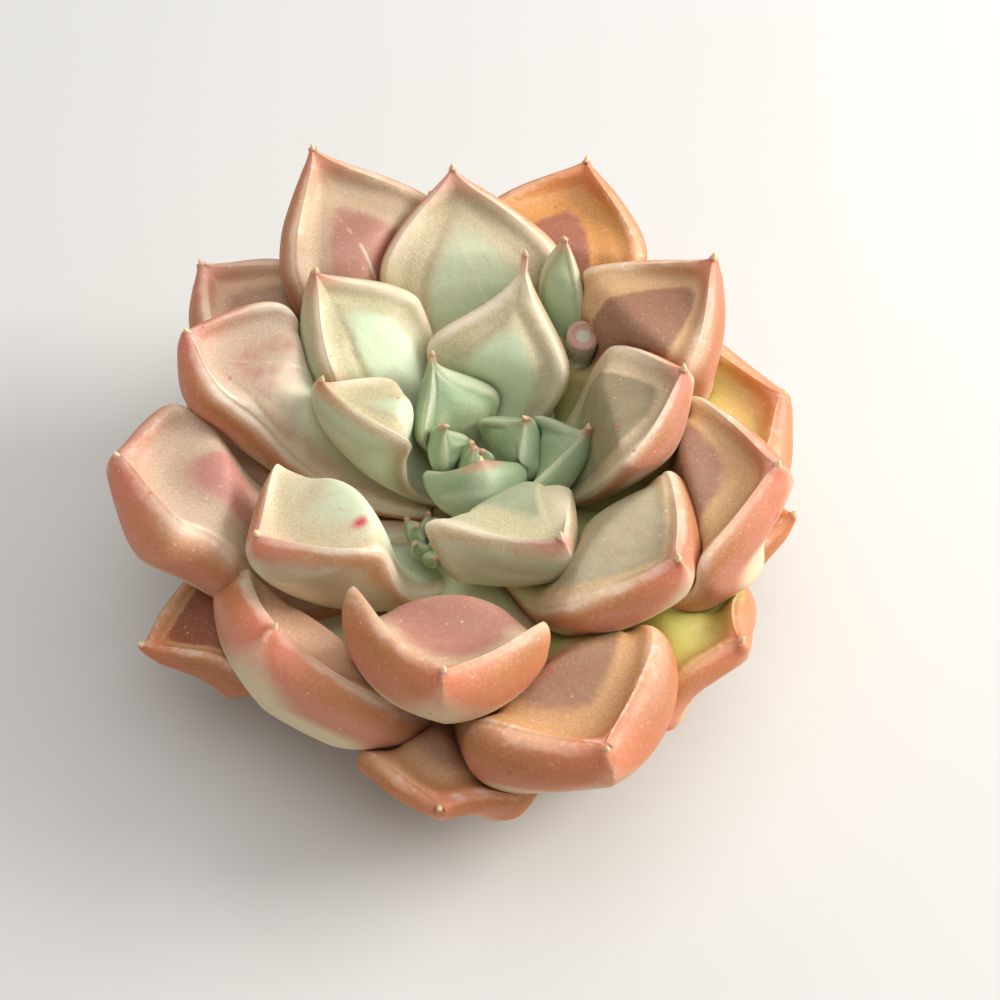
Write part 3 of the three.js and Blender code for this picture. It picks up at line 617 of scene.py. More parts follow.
def leaf_skin(name):
    """The waxy skin of a leaf, from where on the leaf a point is and how old the leaf is."""
    c = colours()
    g = Graph(name)
    across, along, rim = g.parts("place")
    pad, under, vein = g.parts("marks")
    green, blush, coral = g.parts("mood")
    spike, spot, _ = g.parts("extra")
    pad_dark_and_shade, painted_glow, base_end = g.parts("tone")
    grain = g.noise(2600, 2, 0.7)
    dust = g.noise(5200, 1, 0.6)
    cloud = g.noise(330, 2)
    blotch = g.noise(900, 2)

    young = green.between(0.75, 1)
    fresh = (green * 1.3).least(1)
    dusting = (0.52 - dust).between(0, 0.12) * 0.2
    uneven = rim + (cloud - 0.5) * 1.6
    lip = 1 - uneven.between(0.1, green + 0.9)
    # Towards its root the face takes the base colour. On leaves with painted glow this reaches out
    # to the margin.
    deep = 1 - (along - base_end + (cloud - 0.5) * 0.2).between(-0.2, 0.16)
    deep = deep * rim.between(0.5, 3.5).most(painted_glow)
    tip = along.between(0.88, 1)
    ripe = (coral + (cloud - 0.5) * 0.6).between(0, 1)

    # The band turns tan with the painted glow, which is painted light coming through the leaf from
    # behind.
    band = g.mix(c.beige, c.tan, painted_glow)
    band = g.mix(band, c.olive, fresh)
    band = g.mix(band, c.umber, dusting)
    band = g.mix(band, c.sage, young)
    cushion = g.mix(c.fawn, c.mint, fresh)
    flush = (blush + (blotch - 0.5) * 0.9 - (1 - along) * 0.3).between(0.05, 0.8)
    cushion = g.mix(cushion, c.mauve, flush)
    cushion = g.mix(cushion, c.sage, young)
    # Painted shade on the pad, stronger on some leaves, mixed with some of the pad's own darker
    # colour.
    shadow = (pad_dark_and_shade * (0.7 + cloud * 0.4)).least(1)
    cushion = g.mix(cushion, g.mix(c.pad_dark_and_shade, c.green_pad_dark_and_shade, (green * 1.6).least(1)), shadow)
    margin = g.mix(c.cream, c.peach, ripe)
    # The base is pale mist. It turns lime with painted light coming through the leaf.
    base = g.mix(c.mist, c.backlit_lime, painted_glow)
    padded = (pad + (blotch - 0.5) * 0.2).between(0.05, 0.55 - pad_dark_and_shade * 0.3)
    upper = g.mix(band, cushion, padded)
    upper = g.mix(upper, margin, lip * (0.75 - young * 0.45 - pad_dark_and_shade * 0.2))
    upper = g.mix(upper, base, deep * 0.9)

    middle = 1 - abs(across)
    back = g.mix(c.rose, c.coral, coral)
    leafy = g.mix(c.mint, c.sage, 0.3)
    back = g.mix(back, leafy, green.between(0.35, 0.8) * 0.9)
    back = g.mix(back, c.sage, young)
    edge = g.mix(c.rust, c.olive, green.between(0.5, 0.9))
    edge = g.mix(edge, c.umber, dusting)
    edge = g.mix(edge, c.sage, young)
    back = g.mix(edge, back, uneven.between(0.2, 2 - green))
    # Painted shade towards the sides of the underside, mixed with some of the leaf's own darker
    # colour.
    back = g.mix(back, c.pad_dark_and_shade, pad_dark_and_shade * 0.3 * (1 - middle.between(0.3, 0.7)))
    low = middle.between(0.5, 0.9).most(rim.between(3, 6)) * 0.85
    inner = (1 - along).between(0.2, 0.55) * rim.between(0.3, 2.5)
    root = inner.most(low * (1 - coral * 0.6))
    back = g.mix(back, g.mix(c.pale, c.mist, green), root * (1 - young * 0.5))
    thin = 1 - (rim + (cloud - 0.5) * 0.3).between(0, 0.12)
    back = g.mix(back, margin, thin * (0.7 - young * 0.4))

    skin = g.mix(upper, back, under)
    ripening = tip * (0.55 + coral * 0.2) * (0.4 + blotch * 1.2)
    skin = g.mix(skin, g.mix(c.pink, c.coral, coral), ripening)
    scar = (1 - abs(vein).between(0.04, 0.3)) * pad * blotch.between(0.42, 0.55)
    skin = g.mix(skin, c.cream, scar * 0.55)
    scuff = (1 - rim.between(0.1, 0.9)) * along.between(0.6, 0.8) * blotch.between(0.54, 0.64)
    skin = g.mix(skin, c.bloom, scuff * (1 - green) * (1 - under) * 0.4)
    skin = g.mix(skin, c.bloom, (grain - 0.5).between(0, 0.3) * 0.14)
    speck = (1 - g.dots(900).between(0.05, 0.16)) * cloud.between(0.48, 0.6)
    skin = g.mix(skin, c.bloom, speck * 0.4)
    fleck = (1 - g.dots(240).between(0.03, 0.07)) * (1 - young)
    skin = g.mix(skin, c.crimson, fleck * 0.5)
    skin = g.mix(skin, c.crimson, spot)
    skin = g.mix(skin, c.thorn, spike)
    wax = {
        "Base Color": skin,
        "Roughness": 0.42 + grain * 0.22,
        "Subsurface Weight": 0.15,
        "Subsurface Radius": (1, 0.65, 0.25),
        "Subsurface Scale": 0.004,
        "Specular IOR Level": 0.45,
    }
    return g.finish(wax, height=grain * 0.4 + blotch * 0.6, bump=0.00008)


def stem_skin():
    """Dry brown bark with the paler prints of fallen leaves."""
    c = colours()
    g = Graph("StemSkin")
    scar, height, _ = g.parts("place")
    grain = g.noise(1500, 5, 0.7)
    fibre = g.noise(420, 4)
    skin = g.mix(c.bark, c.scar, scar)
    skin = g.mix(skin, CRACK_COLOUR, (0.62 - fibre).between(0.05, 0.3) * 0.7)
    skin = g.mix(skin, c.pith, (1 - height.between(0, 0.35)) * 0.5)
    bark = {"Base Color": skin, "Roughness": 0.75}
    return g.finish(bark, height=grain + fibre, bump=0.0002)


def stalk_skin():
    """The stalk's skin, the dried ring round its cut and the pale pith inside."""
    c = colours()
    g = Graph("StalkSkin")
    radius, cut, _ = g.parts("place")
    grain = g.noise(2400, 4, 0.7)
    cells = g.dots(2600)
    pith = 1 - (radius + (grain - 0.5) * 0.16).between(0.36, 0.52)
    rind = g.mix(c.rind, FLECK_COLOUR, (grain - 0.35).between(0, 0.4) * 0.7)
    rings = ((radius * 46).math("SINE") * 0.5 + 0.5) * 0.3
    face = g.mix(rind, c.pith, pith)
    face = g.mix(face, RING_COLOUR, rings * (0.4 + grain * 0.6))
    side = g.mix(c.beige, c.mist, grain.between(0.3, 0.6))
    dry = {"Base Color": g.mix(side, face, cut), "Roughness": 0.6}
    return g.finish(dry, height=grain + cells * 0.5, bump=0.00015)


def smooth(t):
    """A soft step from 0 to 1, for t from 0 to 1."""
    return t * t * (3 - 2 * t)


def ease(t):
    """The same step, for any t."""
    return smooth(np.clip(t, 0, 1))


def run(line):
    """How far along a line each of its points is."""
    steps = np.linalg.norm(np.diff(line, axis=0), axis=1)
    return np.concatenate([[0], np.cumsum(steps)])


def rows(*values):
    """Three grids of numbers as rows of three, one for each point."""
    return np.stack(values, -1).reshape(-1, 3)


def half_width(leaf, s):
    """Half the width at s, a share of the length: narrow root, broad shoulders, drawn-out tip."""
    half = leaf["wide"] / 2
    rising = half * (0.36 + 0.64 * smooth(np.clip(s / leaf["widest"], 0, 1)) ** leaf["early"])
    q = np.clip((s - leaf["widest"]) / (1 - leaf["widest"]), 0, 1)
    closing = np.maximum(0.25, half * (1 - q ** leaf["shoulder"]) ** leaf["point"])
    return np.where(s < leaf["widest"], rising, closing)


def thickness(leaf, s):
    """How far the flesh reaches below the midline at s, a share of the length."""
    swell = 0.4 + 0.6 * ease(s / 0.62)
    end = np.sqrt(1 - np.clip((s - 0.7) / 0.3, 0, 1) ** 2 * (1 - 0.12 * leaf["blunt"]))
    return np.maximum(0.35, leaf["thick"] * swell * end)


def midline(leaf, s):
    """Points and directions of the midline in the leaf's upright plane."""
    start = np.array([leaf["root"], leaf["foot"]])
    end = np.array([leaf["reach"], leaf["rise"]])
    chord = end - start
    pitch = np.arctan2(chord[1], chord[0])
    handle = leaf["hook"] * np.hypot(*chord)
    low = pitch - np.radians(leaf["dip"])
    high = pitch + np.radians(leaf["curl"])
    first = start + handle * np.array([np.cos(low), np.sin(low)])
    second = end - handle * np.array([np.cos(high), np.sin(high)])
    t = s[:, None]
    u = 1 - t
    points = u**3 * start + 3 * u**2 * t * first + 3 * u * t**2 * second + t**3 * end
    slopes = u**2 * (first - start) + 2 * u * t * (second - first) + t**2 * (end - second)
    return points, slopes / np.linalg.norm(slopes, axis=1)[:, None]


def leaf_form(leaf, rings, sides):
    """A leaf's skin as a grid of points, each ring's way down, and where each point is."""
    s = (np.arange(rings + 1) / rings) ** 0.9
    points, slopes = midline(leaf, s)
    azimuth = np.radians(leaf["at"] - leaf["swing"] * (1 - s) ** 1.5)
    zero = np.zeros_like(s)
    outward = np.stack([np.cos(azimuth), np.sin(azimuth), zero], 1)
    side = np.stack([-np.sin(azimuth), np.cos(azimuth), zero], 1)
    up = np.array([0, 0, 1])
    middle = outward * points[:, :1] + up * points[:, 1:]
    tangent = outward * slopes[:, :1] + up * slopes[:, 1:]
    face = np.cross(tangent, side)

    turn = 2 * np.pi * np.arange(sides) / sides
    across = np.cos(turn)[None, :]
    over = np.sin(turn)[None, :]
    under = np.maximum(0, -over)
    s = s[:, None]
    half = half_width(leaf, s)
    flat = leaf["flat"]
    rise = 0.3 * (1 - flat) + (0.7 + 0.3 * flat) * ease((s - 0.4 * flat) / 0.65 / (1 - 0.3 * flat))
    rise = rise - 0.2 * ease((s - 0.7) / 0.3)
    keel = leaf["keel"] * ease((s - 0.35) / 0.5)
    ramp = leaf["blunt"] * ease((s - 0.72) / 0.22) * (1 - 0.6 * ease((s - 0.9) / 0.1))
    left, right = leaf["cups"]
    cup = np.where(across > 0, left, right) * rise * half
    roll = np.where(across > 0, *leaf["rolls"]) * ease(s / 0.4)
    horn = np.where(across > 0, *leaf["horns"]) * np.exp(-(((s - leaf["widest"]) / 0.1) ** 2))
    share = half * (1 + np.sign(across) * leaf["lean"])
    share = share * (1 + leaf["bulge"] * under - roll * (1 - under))
    hull = keel * (1 - np.abs(across)) ** 0.8 + (1 - keel) * under**1.2
    x = across * (share + 1.4 * ramp * under)
    full = leaf["fill"] * ease(s / 0.35) * (1 - ease((s - leaf["till"]) / 0.2 + 1))
    crown = full * (left + right) / 2 * rise * half * np.maximum(0, over) ** 2
    high, where, reach = leaf["mound"]
    crown = crown + high * np.exp(-(((s - where) / reach) ** 2)) * np.maximum(0, over) ** 1.5
    y = cup * across * across + np.minimum(RIM, 0.3 * half) * over + crown + horn * across**6
    y = y - np.where(over < 0, thickness(leaf, s) * hull, 0)
    forward = 0.4 * ramp * np.sin(np.pi * under**0.7)
    grid = middle[:, None] + side[:, None] * x[..., None] + face[:, None] * y[..., None]
    grid = grid + tangent[:, None] * forward[..., None]

    length = run(middle)
    closing = np.gradient(half[:, 0], length)
    slant = 1 / np.sqrt(1 + closing**2)
    inside = share * (1 - np.abs(across)) * np.sqrt(1 + (cup / half) ** 2) * slant[:, None]
    place = {
        "across": x,
        "share": across + 0 * s,
        "s": s + 0 * across,
        "length": length[:, None] + 0 * across,
        "rim": inside,
        "over": over + 0 * s,
        "half": half + 0 * across,
    }
    return grid, -face, place


def dents(grid, down, sides):
    """How far each point must go down to come out of the pieces above it."""
    needed = np.zeros(grid.shape[:2])
    top = slice(0, sides // 2 + 1)
    for tree, low, high in ABOVE:
        boxed = np.all((grid[:, top] > low) & (grid[:, top] < high), axis=2)
        for i, j in np.argwhere(boxed):
            start = Vector(grid[i, j])
            way = Vector(down[i])
            origin = start
            crossings = 0
            while True:
                hit = tree.ray_cast(origin, way)[0]
                if hit is None:
                    break
                crossings += 1
                last = hit
                origin = hit + way * PAST_FACE
            if crossings % 2:
                needed[i, j] = max(needed[i, j], (last - start).length + PRESS_MARGIN)
    mirrored = (sides - np.arange(sides)) % sides
    return np.maximum(needed, needed[:, mirrored])


def softened(needed):
    """The dents with soft edges."""
    depth = needed
    for _ in range(SOFTENING):
        fore = np.vstack([depth[:1], depth[:-1]])
        aft = np.vstack([depth[1:], depth[-1:]])
        around = np.roll(depth, 1, axis=1) + np.roll(depth, -1, axis=1)
        depth = np.maximum(needed, (2 * depth + fore + aft + around) / 6)
    return np.minimum(MOST_PRESS, depth)


def grid_faces(rings, sides):
    """Quads over rings of points, with a flat face at each end."""
    i, j = np.meshgrid(np.arange(rings), np.arange(sides), indexing="ij")
    a = i * sides + j
    b = i * sides + (j + 1) % sides
    quads = np.stack([a, b, b + sides, a + sides], -1).reshape(-1, 4).tolist()
    last = rings * sides
    return quads + [list(range(sides))[::-1], list(range(last, last + sides))]


def remember(points, faces):
    """Adds a finished piece, in mm, to those that later leaves are pressed down under."""
    tree = BVHTree.FromPolygons([Vector(p) for p in points], faces)
    ABOVE.append((tree, points.min(0), points.max(0)))


def buried(points):
    """Which points lie inside a piece that was built before."""
    hidden = np.zeros(len(points), bool)
    up = Vector((0, 0, 1))
    for tree, low, high in ABOVE:
        for k in np.flatnonzero(np.all((points > low) & (points < high), axis=1) & ~hidden):
            hit = tree.ray_cast(Vector(points[k]), up)[0]
            while hit is not None:
                hidden[k] = not hidden[k]
                hit = tree.ray_cast(hit + up * PAST_FACE, up)[0]
    return hidden


def main_part(shown):
    """The largest patch of the shown points of a grid, whose rows are rings."""
    label = np.where(shown, np.arange(shown.size).reshape(shown.shape) + 1, 0)
    while True:
        fore = np.vstack([label[:1], label[:-1]])
        aft = np.vstack([label[1:], label[-1:]])
        around = np.maximum(np.roll(label, 1, axis=1), np.roll(label, -1, axis=1))
        spread = np.where(shown, np.maximum.reduce([label, fore, aft, around]), 0)
        if (spread == label).all():
            return label == np.bincount(label[shown]).argmax()
        label = spread


def pad_mask(leaf, place):
    """1 on the print that the leaf above left on the face, 0 off it."""
    middle, half, start, end, power = leaf["pad"]
    aside = (place["share"] - middle) / half
    out = np.clip((place["s"] - start) / (end - start), 0, None)
    inside = 1 - np.abs(aside) ** 2 - out**power
    return np.clip(inside, 0, 1) * ease(place["over"] / 0.15)


def spot_mask(leaf, place):
    """1 in the middle of each of the leaf's red spots, 0 away from them."""
    mask = 0 * place["s"]
    for share, s, radius, side in leaf["spots"]:
        aside = place["across"] - share * place["half"]
        away = place["length"] - s * place["length"].max()
        round_spot = np.clip(1.4 * (1 - np.hypot(aside, away) / radius), 0, 1)
        mask = np.maximum(mask, round_spot * (side * place["over"] > 0))
    return mask


def spike(tip, tangent, up, length, width):
    """A curved dried point as points and faces."""
    side = np.cross(tangent, up)
    points = []
    for i in range(SPIKE_RINGS + 1):
        t = i / SPIKE_RINGS
        centre = tip + tangent * length * t + up * length * 0.35 * t * t
        radius = width * (1 - 0.8 * t**1.5)
        for j in range(SPIKE_SIDES):
            turn = 2 * np.pi * j / SPIKE_SIDES
            points.append(centre + radius * (np.cos(turn) * side + np.sin(turn) * up))
    return np.array(points), grid_faces(SPIKE_RINGS, SPIKE_SIDES)


def copied(attributes, index, count):
    """One point's attributes, for count points."""
    return {key: np.tile(values[index], (count, 1)) for key, values in attributes.items()}


def dried_point(grid, down, attributes, length, width):
    """The dried point at the end of a leaf, as points, faces and attributes."""
    ring = grid[-1].mean(0)
    tangent = ring - grid[-4].mean(0)
    tangent /= np.linalg.norm(tangent)
    points, faces = spike(ring - tangent * 0.3, tangent, -down[-1], length, width)
    own = copied(attributes, -1, len(points))
    dried = np.clip(np.arange(SPIKE_RINGS + 1) / 2, 0, 1)
    own["extra"][:, 0] = np.repeat(dried, SPIKE_SIDES)
    return points, faces, own


def merged(parts):
    """Several sets of points, faces and attributes as one."""
    points = np.vstack([part[0] for part in parts])
    faces = []
    first = 0
    for own, own_faces, _ in parts:
        faces += [[k + first for k in face] for face in own_faces]
        first += len(own)
    attributes = {key: np.vstack([part[2][key] for part in parts]) for key in parts[0][2]}
    return points, faces, attributes


def tiny_leaf(leaf, offset, length):
    """A tiny leaf with its dried point, as points, faces and attributes."""
    leaf = {**TINY_LEAF, **leaf}
    grid, down, place = leaf_form(leaf, TINY_RINGS, TINY_SIDES)
    grid = grid + np.array(offset)
    points = grid.reshape(-1, 3)
    under = ease((0.1 - place["over"]) / 0.5)
    attributes = {
        "place": rows(place["share"], place["s"], place["rim"] / 0.4),
        "marks": rows(0 * under, under, 0 * under + NO_VEIN),
        "mood": np.tile([leaf["green"], leaf["blush"], leaf["coral"]], (len(points), 1)),
        "extra": np.zeros((len(points), 3)),
        "tone": np.zeros((len(points), 3)),
    }
    faces = grid_faces(TINY_RINGS, TINY_SIDES)
    point = dried_point(grid, down, attributes, length, TINY_THORN_RADIUS)
    return merged([(points, faces, attributes), point])


def curve_points(corners, count):
    """Points along a soft curve through corners, and the ways it runs."""
    corners = np.array(corners, float)
    corners = np.vstack([2 * corners[0] - corners[1], corners, 2 * corners[-1] - corners[-2]])
    spans = len(corners) - 3
    points = []
    for k in range(count + 1):
        place = min(k / count * spans, spans - 1e-6)
        i = int(place)
        t = place - i
        a, b, c, d = corners[i : i + 4]
        bend = (2 * a - 5 * b + 4 * c - d) * t**2
        twist = (3 * b - a - 3 * c + d) * t**3
        points.append(0.5 * (2 * b + (c - a) * t + bend + twist))
    points = np.array(points)
    ways = np.gradient(points, axis=0)
    return points, ways / np.linalg.norm(ways, axis=1)[:, None]


def rod_grid(corners, radius, rings, sides):
    """Rings of points round a curve."""
    points, ways = curve_points(corners, rings)
    turn = 2 * np.pi * np.arange(sides) / sides
    side = np.cross(ways, ASIDE)
    side /= np.linalg.norm(side, axis=1)[:, None]
    other = np.cross(ways, side)
    cos, sin = np.cos(turn)[:, None], np.sin(turn)[:, None]
    return points[:, None] + radius * (cos * side[:, None] + sin * other[:, None])


def make_mesh(name, points, faces, attributes, material):
    """A smooth mesh object from points in mm, with its attributes of three numbers a point."""
    mesh = bpy.data.meshes.new(name)
    mesh.from_pydata((points * MM).tolist(), [], faces)
    mesh.shade_smooth()
    for key, values in attributes.items():
        made = mesh.attributes.new(key, "FLOAT_VECTOR", "POINT")
        made.data.foreach_set("vector", np.ascontiguousarray(values, dtype=np.float32).ravel())
    mesh.materials.append(material)
    obj = bpy.data.objects.new(name, mesh)
    bpy.context.scene.collection.objects.link(obj)
    return obj


def settle(obj, node):
    """The piece stands for its CAD node, which is hidden, and hangs under the root body."""
    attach(obj, "root")
    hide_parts(node)


def wobbled(grid, amount, seed):
    """The grid with a soft unevenness."""
    flat = grid.reshape(-1, 3)
    shift = np.array([noise.noise(Vector(p) * WOBBLE_WAVES + Vector((seed, 0, 0))) for p in flat])
    middle = grid.mean(axis=1, keepdims=True)
    away = grid - middle
    away /= np.linalg.norm(away, axis=2, keepdims=True) + 1e-9
    return grid + away * shift.reshape(grid.shape[:2])[..., None] * amount


def build_leaf(name, leaf, index, slot, material):
    """A leaf, pressed down under those before it. Where they hide it, its faces are left out."""
    z = sizes()
    leaf = {**PLAIN_LEAF, **leaf}
    grid, down, place = leaf_form(leaf, LEAF_RINGS, LEAF_SIDES)
    depth = softened(dents(grid, down, LEAF_SIDES))
    grid = grid + down[:, None] * depth[..., None]
    grid = wobbled(grid, z.wobble / MM * 2, index * WOBBLE_STEP)

    scale = np.clip(leaf["wide"] / BROAD_LEAF, 0.3, 1)
    rim = place["rim"]
    top = ease(place["over"] / 0.25)
    fade = ease((place["s"] - 0.25) / 0.3)
    lip = np.exp(-(((rim - LIP_AT * scale) / (LIP_REACH * scale)) ** 2))
    groove = np.exp(-(((rim - GROOVE_AT * scale) / (GROOVE_REACH * scale)) ** 2))
    pad = pad_mask(leaf, place)
    relief = z.lip / MM * lip - z.groove / MM * groove + z.pad / MM * np.sqrt(pad)
    grid = grid - down[:, None] * (relief * top * fade * scale)[..., None]

    vein_at, vein_slope = leaf["vein"]
    vein = place["across"] - vein_at - vein_slope * (place["s"] - 0.7)
    under = ease((0.1 - place["over"]) / 0.5)
    points = grid.reshape(-1, 3)
    whole = main_part(~buried(points).reshape(rim.shape)).ravel()
    faces = grid_faces(LEAF_RINGS, LEAF_SIDES)
    remember(points, faces)
    faces = [face for face in faces if whole[face].any()]

    attributes = {
        "place": rows(place["share"], place["s"], rim / scale),
        "marks": rows(pad, under, vein),
        "mood": np.tile([leaf["green"], leaf["blush"], leaf["coral"]], (len(points), 1)),
        "extra": rows(0 * pad, spot_mask(leaf, place), 0 * pad),
        "tone": np.tile([leaf["pad_dark_and_shade"], leaf["painted_glow"], leaf["base"]], (len(points), 1)),
    }
    length = z.thorn / MM * (0.6 + 0.4 * scale)
    radius = 0.26 + 0.14 * scale
    point = dried_point(grid, down, attributes, length, radius)
    obj = make_mesh(name + "_skin", *merged([(points, faces, attributes), point]), material)
    settle(obj, name)


class ECHEVERIA_OT_leaves(bpy.types.Operator):
    """Builds one ring of leaves, each pressed down under those built before it"""

    bl_idname = "echeveria.leaves"
    bl_label = "Leaves"

    ring: StringProperty(name="Ring", description="heart, middle or outer", default="heart")

    def execute(self, context):
        slot = self.ring + "_leaf"
        material = leaf_skin(self.ring.capitalize() + "LeafSkin")
        for name, leaf in LEAVES_BY_RING[self.ring].items():
            build_leaf(name, leaf, len(ABOVE), "heart_leaf" if name == "bract" else slot, material)
        return {"FINISHED"}


class ECHEVERIA_OT_stem(bpy.types.Operator):
    """Builds the short stem with the prints of the leaves it has lost"""

    bl_idname = "echeveria.stem"
    bl_label = "Stem"

    def execute(self, context):
        outline = np.array(STEM_OUTLINE, float)
        length = run(outline)
        along = np.linspace(0, length[-1], STEM_RINGS + 1)
        radius = np.interp(along, length, outline[:, 0])[:, None]
        height = np.interp(along, length, outline[:, 1])[:, None]
        turn = (2 * np.pi * np.arange(STEM_SIDES) / STEM_SIDES)[None, :]
        barked = radius > BARK_RADIUS
        scar = np.zeros((STEM_RINGS + 1, STEM_SIDES))
        for n in range(STEM_SCARS):
            angle = (turn - np.radians(GOLDEN_ANGLE) * n + np.pi) % (2 * np.pi) - np.pi
            aside = angle * STEM_RADIUS
            above = height - (SCAR_START + SCAR_RISE * n) + SCAR_ARCH * aside**2
            reach = (aside / SCAR_WIDTH) ** 2 + (above / SCAR_HEIGHT) ** 2
            scar = np.maximum(scar, np.clip(1 - reach, 0, 1) * barked)
        ribs = RIB_DEPTH * np.sin(turn * RIBS + height * 1.3) * barked
        out = radius - SCAR_DEPTH * np.sqrt(scar) + ribs
        points = rows(out * np.cos(turn), out * np.sin(turn), height + 0 * turn)
        place = rows(scar, height / outline[-1, 1] + 0 * scar, 0 * scar)
        faces = grid_faces(STEM_RINGS, STEM_SIDES)
        obj = make_mesh("stem_bark", points, faces, {"place": place}, stem_skin())
        settle(obj, "stem")
        return {"FINISHED"}


class ECHEVERIA_OT_bud(bpy.types.Operator):
    """Builds the tiny youngest leaves in the middle, with the fine hairs at their tips"""

    bl_idname = "echeveria.bud"
    bl_label = "Crown bud"

    def execute(self, context):
        rng = np.random.default_rng(SEED)
        parts = [tiny_leaf(leaf, (0, 0, 0), BUD_THORN) for leaf in BUD_LEAVES]
        for leaf in BUD_LEAVES:
            turn, reach = np.radians(leaf["at"]), leaf["reach"]
            tip = np.array([reach * np.cos(turn), reach * np.sin(turn), leaf["rise"]])
            for _ in range(BUD_HAIRS):
                way = np.array([*rng.normal(0, HAIR_LEAN, 2), 1])
                way /= np.linalg.norm(way)
                up = np.cross(way, [0, 1, 0])
                length = rng.uniform(*HAIR_LENGTH)
                points, faces = spike(tip - way * 0.2, way, up, length, HAIR_RADIUS)
                parts.append((points, faces, copied(parts[0][2], -1, len(points))))
        points, faces, attributes = merged(parts)
        remember(points, faces)
        obj = make_mesh("crown_bud_skin", points, faces, attributes, leaf_skin("BudLeafSkin"))
        settle(obj, "crown_bud")
        return {"FINISHED"}


class ECHEVERIA_OT_shoot(bpy.types.Operator):
    """Builds the side shoot, tiny narrow leaves that spiral out of one heart"""

    bl_idname = "echeveria.shoot"
    bl_label = "Side shoot"

    def execute(self, context):
        parts = []
        for n in range(SHOOT_LEAVES):
            spread = n / (SHOOT_LEAVES - 1)
            leaf = dict(
                at=40 + n * GOLDEN_ANGLE, reach=0.7 + 2.4 * spread, rise=4.2 - 1.6 * spread,
                root=0.3, foot=-0.2, wide=1.7 + 0.7 * spread,
            )
            parts.append(tiny_leaf(leaf, SHOOT_HEART, SHOOT_THORN))
        line = [SHOOT_ROOT, SHOOT_HEART]
        stub = rod_grid(line, SHOOT_STUB_RADIUS, STUB_RINGS, STUB_SIDES).reshape(-1, 3)
        faces = grid_faces(STUB_RINGS, STUB_SIDES)
        parts.append((stub, faces, copied(parts[0][2], 0, len(stub))))
        points, faces, attributes = merged(parts)
        remember(points, faces)
        obj = make_mesh("side_shoot_skin", points, faces, attributes, leaf_skin("ShootLeafSkin"))
        settle(obj, "side_shoot")
        return {"FINISHED"}


class ECHEVERIA_OT_stalk(bpy.types.Operator):
    """Builds the stump of the cut flower stalk, with its dried ring and pale pith"""

    bl_idname = "echeveria.stalk"
    bl_label = "Flower stalk"

    def execute(self, context):
        grid = rod_grid(STALK_LINE, STALK_RADIUS, STALK_RINGS, STALK_SIDES)
        middle = grid[-1].mean(0)
        way = middle - grid[-3].mean(0)
        way /= np.linalg.norm(way)
        grids = [grid]
        radii = []
        for k in range(1, CUT_RINGS + 1):
            share = 1 - k / (CUT_RINGS + 0.5)
            rind = RIND_RISE * np.exp(-(((share - 0.8) / 0.14) ** 2))
            lift = rind - PITH_DEPTH * ease((0.6 - share) / 0.3)
            radii.append(share)
            grids.append((middle + (grid[-1] - middle) * share + way * lift)[None])
        grid = np.concatenate(grids)
        points = grid.reshape(-1, 3)
        radius = np.concatenate([np.ones(STALK_RINGS + 1), radii])
        edge = ease((np.arange(STALK_RINGS + 1) - STALK_RINGS + 1.5) / 1.5)
        cut = np.concatenate([edge, np.ones(CUT_RINGS)])
        place = np.repeat(rows(radius, cut, 0 * cut), STALK_SIDES, axis=0)
        faces = grid_faces(STALK_RINGS + CUT_RINGS, STALK_SIDES)
        remember(points, faces)
        obj = make_mesh("flower_stalk_stump", points, faces, {"place": place}, stalk_skin())
        settle(obj, "flower_stalk")
        return {"FINISHED"}


class ECHEVERIA_PT_panel(bpy.types.Panel):
    """Lists the sizes, the colours and the pieces that can be built"""

    bl_idname = "ECHEVERIA_PT_panel"
    bl_label = "Echeveria rosette"
    bl_space_type = "VIEW_3D"
    bl_region_type = "UI"
    bl_category = "Echeveria"

    def draw(self, context):
        layout = self.layout
        for group in (context.scene.echeveria_sizes, context.scene.echeveria_colours):
            column = layout.column(align=True)
            for key in group.__annotations__:
                column.prop(group, key)
        layout.operator("echeveria.stem")
        layout.operator("echeveria.bud")
        layout.operator("echeveria.stalk")
        layout.operator("echeveria.shoot")
        for ring in LEAVES_BY_RING:
            layout.operator("echeveria.leaves", text=ring.capitalize() + " leaves").ring = ring
        layout.operator("echeveria.stage")


def aimed(obj, target):
    """Turns a light or camera to look at a point."""
    obj.rotation_euler = (Vector(target) - obj.location).to_track_quat("-Z", "Y").to_euler()


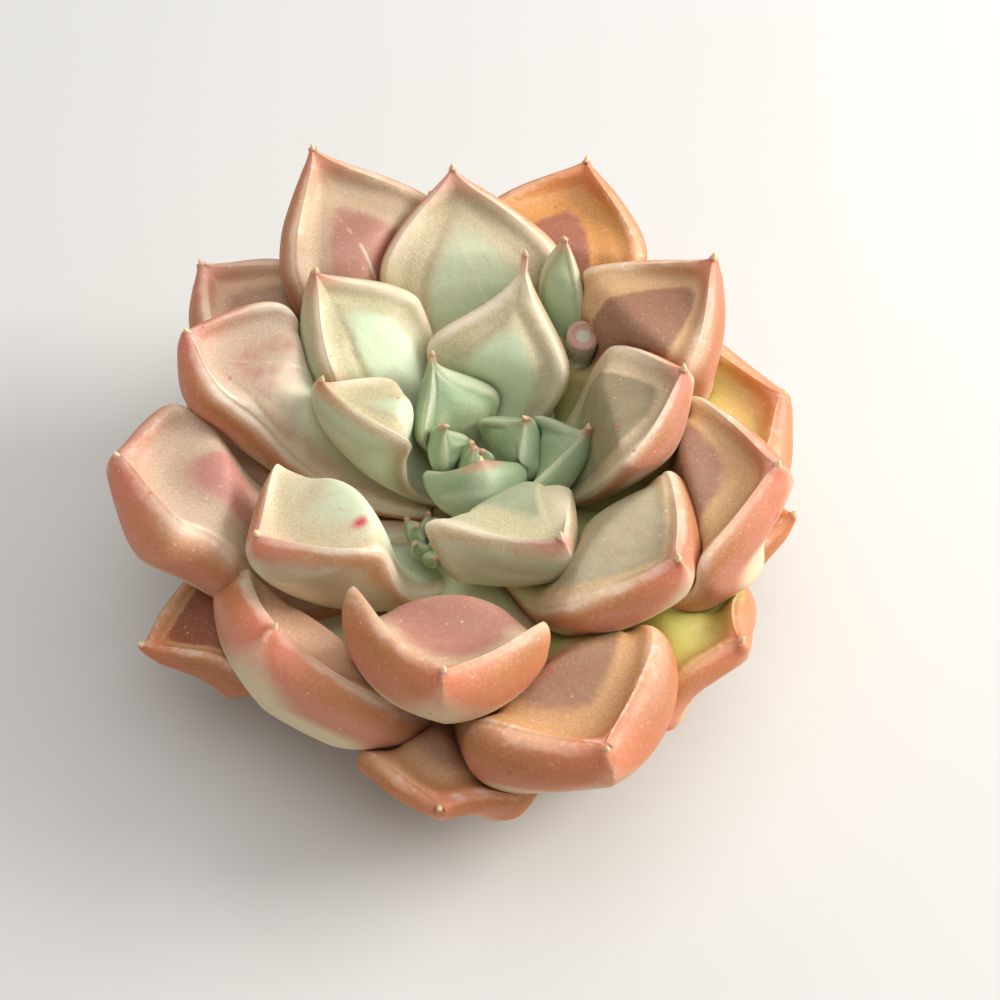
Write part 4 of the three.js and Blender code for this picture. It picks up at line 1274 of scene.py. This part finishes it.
class ECHEVERIA_OT_stage(bpy.types.Operator):
    """Builds the floor, the lights and the camera"""

    bl_idname = "echeveria.stage"
    bl_label = "Stage"

    def execute(self, context):
        scene = context.scene
        g = Graph("Floor")
        c = colours()
        tone = g.mix(c.floor, [v * 0.93 for v in c.floor], g.noise(6, 3))
        material = g.finish({"Base Color": tone, "Roughness": 0.8})
        mesh = bpy.data.meshes.new("Floor")
        r = FLOOR_REACH
        mesh.from_pydata([(-r, -r, 0), (r, -r, 0), (r, r, 0), (-r, r, 0)], [], [(0, 1, 2, 3)])
        mesh.materials.append(material)
        floor = bpy.data.objects.new("Floor", mesh)
        scene.collection.objects.link(floor)

        for name, place, size, power in LIGHTS:
            light = bpy.data.lights.new(name, "AREA")
            light.energy = power
            light.size = size
            obj = bpy.data.objects.new(name, light)
            obj.location = place
            aimed(obj, LIGHT_TARGET)
            scene.collection.objects.link(obj)
        world = bpy.data.worlds.new("Studio")
        world.use_nodes = True
        sky = world.node_tree.nodes["Background"].inputs
        sky["Color"].default_value = SKY_COLOUR
        sky["Strength"].default_value = SKY_STRENGTH
        scene.world = world

        camera = bpy.data.cameras.new("Camera")
        camera.lens = CAMERA_LENS
        camera.sensor_width = CAMERA_SENSOR
        obj = bpy.data.objects.new("Camera", camera)
        obj.location = CAMERA_PLACE
        aimed(obj, CAMERA_TARGET)
        scene.collection.objects.link(obj)
        scene.camera = obj
        scene.view_settings.view_transform = "Standard"
        return {"FINISHED"}


CLASSES = (
    EcheveriaColours,
    EcheveriaSizes,
    ECHEVERIA_OT_stem,
    ECHEVERIA_OT_bud,
    ECHEVERIA_OT_stalk,
    ECHEVERIA_OT_shoot,
    ECHEVERIA_OT_leaves,
    ECHEVERIA_OT_stage,
    ECHEVERIA_PT_panel,
)


def register():
    for cls in CLASSES:
        bpy.utils.register_class(cls)
    bpy.types.Scene.echeveria_colours = PointerProperty(type=EcheveriaColours)
    bpy.types.Scene.echeveria_sizes = PointerProperty(type=EcheveriaSizes)


def unregister():
    del bpy.types.Scene.echeveria_colours
    del bpy.types.Scene.echeveria_sizes
    for cls in reversed(CLASSES):
        bpy.utils.unregister_class(cls)


def main():
    register()
    bpy.ops.echeveria.stem()
    bpy.ops.echeveria.bud()
    bpy.ops.echeveria.leaves(ring="heart")
    bpy.ops.echeveria.stalk()
    bpy.ops.echeveria.shoot()
    bpy.ops.echeveria.leaves(ring="middle")
    bpy.ops.echeveria.leaves(ring="outer")
    bpy.ops.echeveria.stage()


if __name__ == "__main__":
    main()
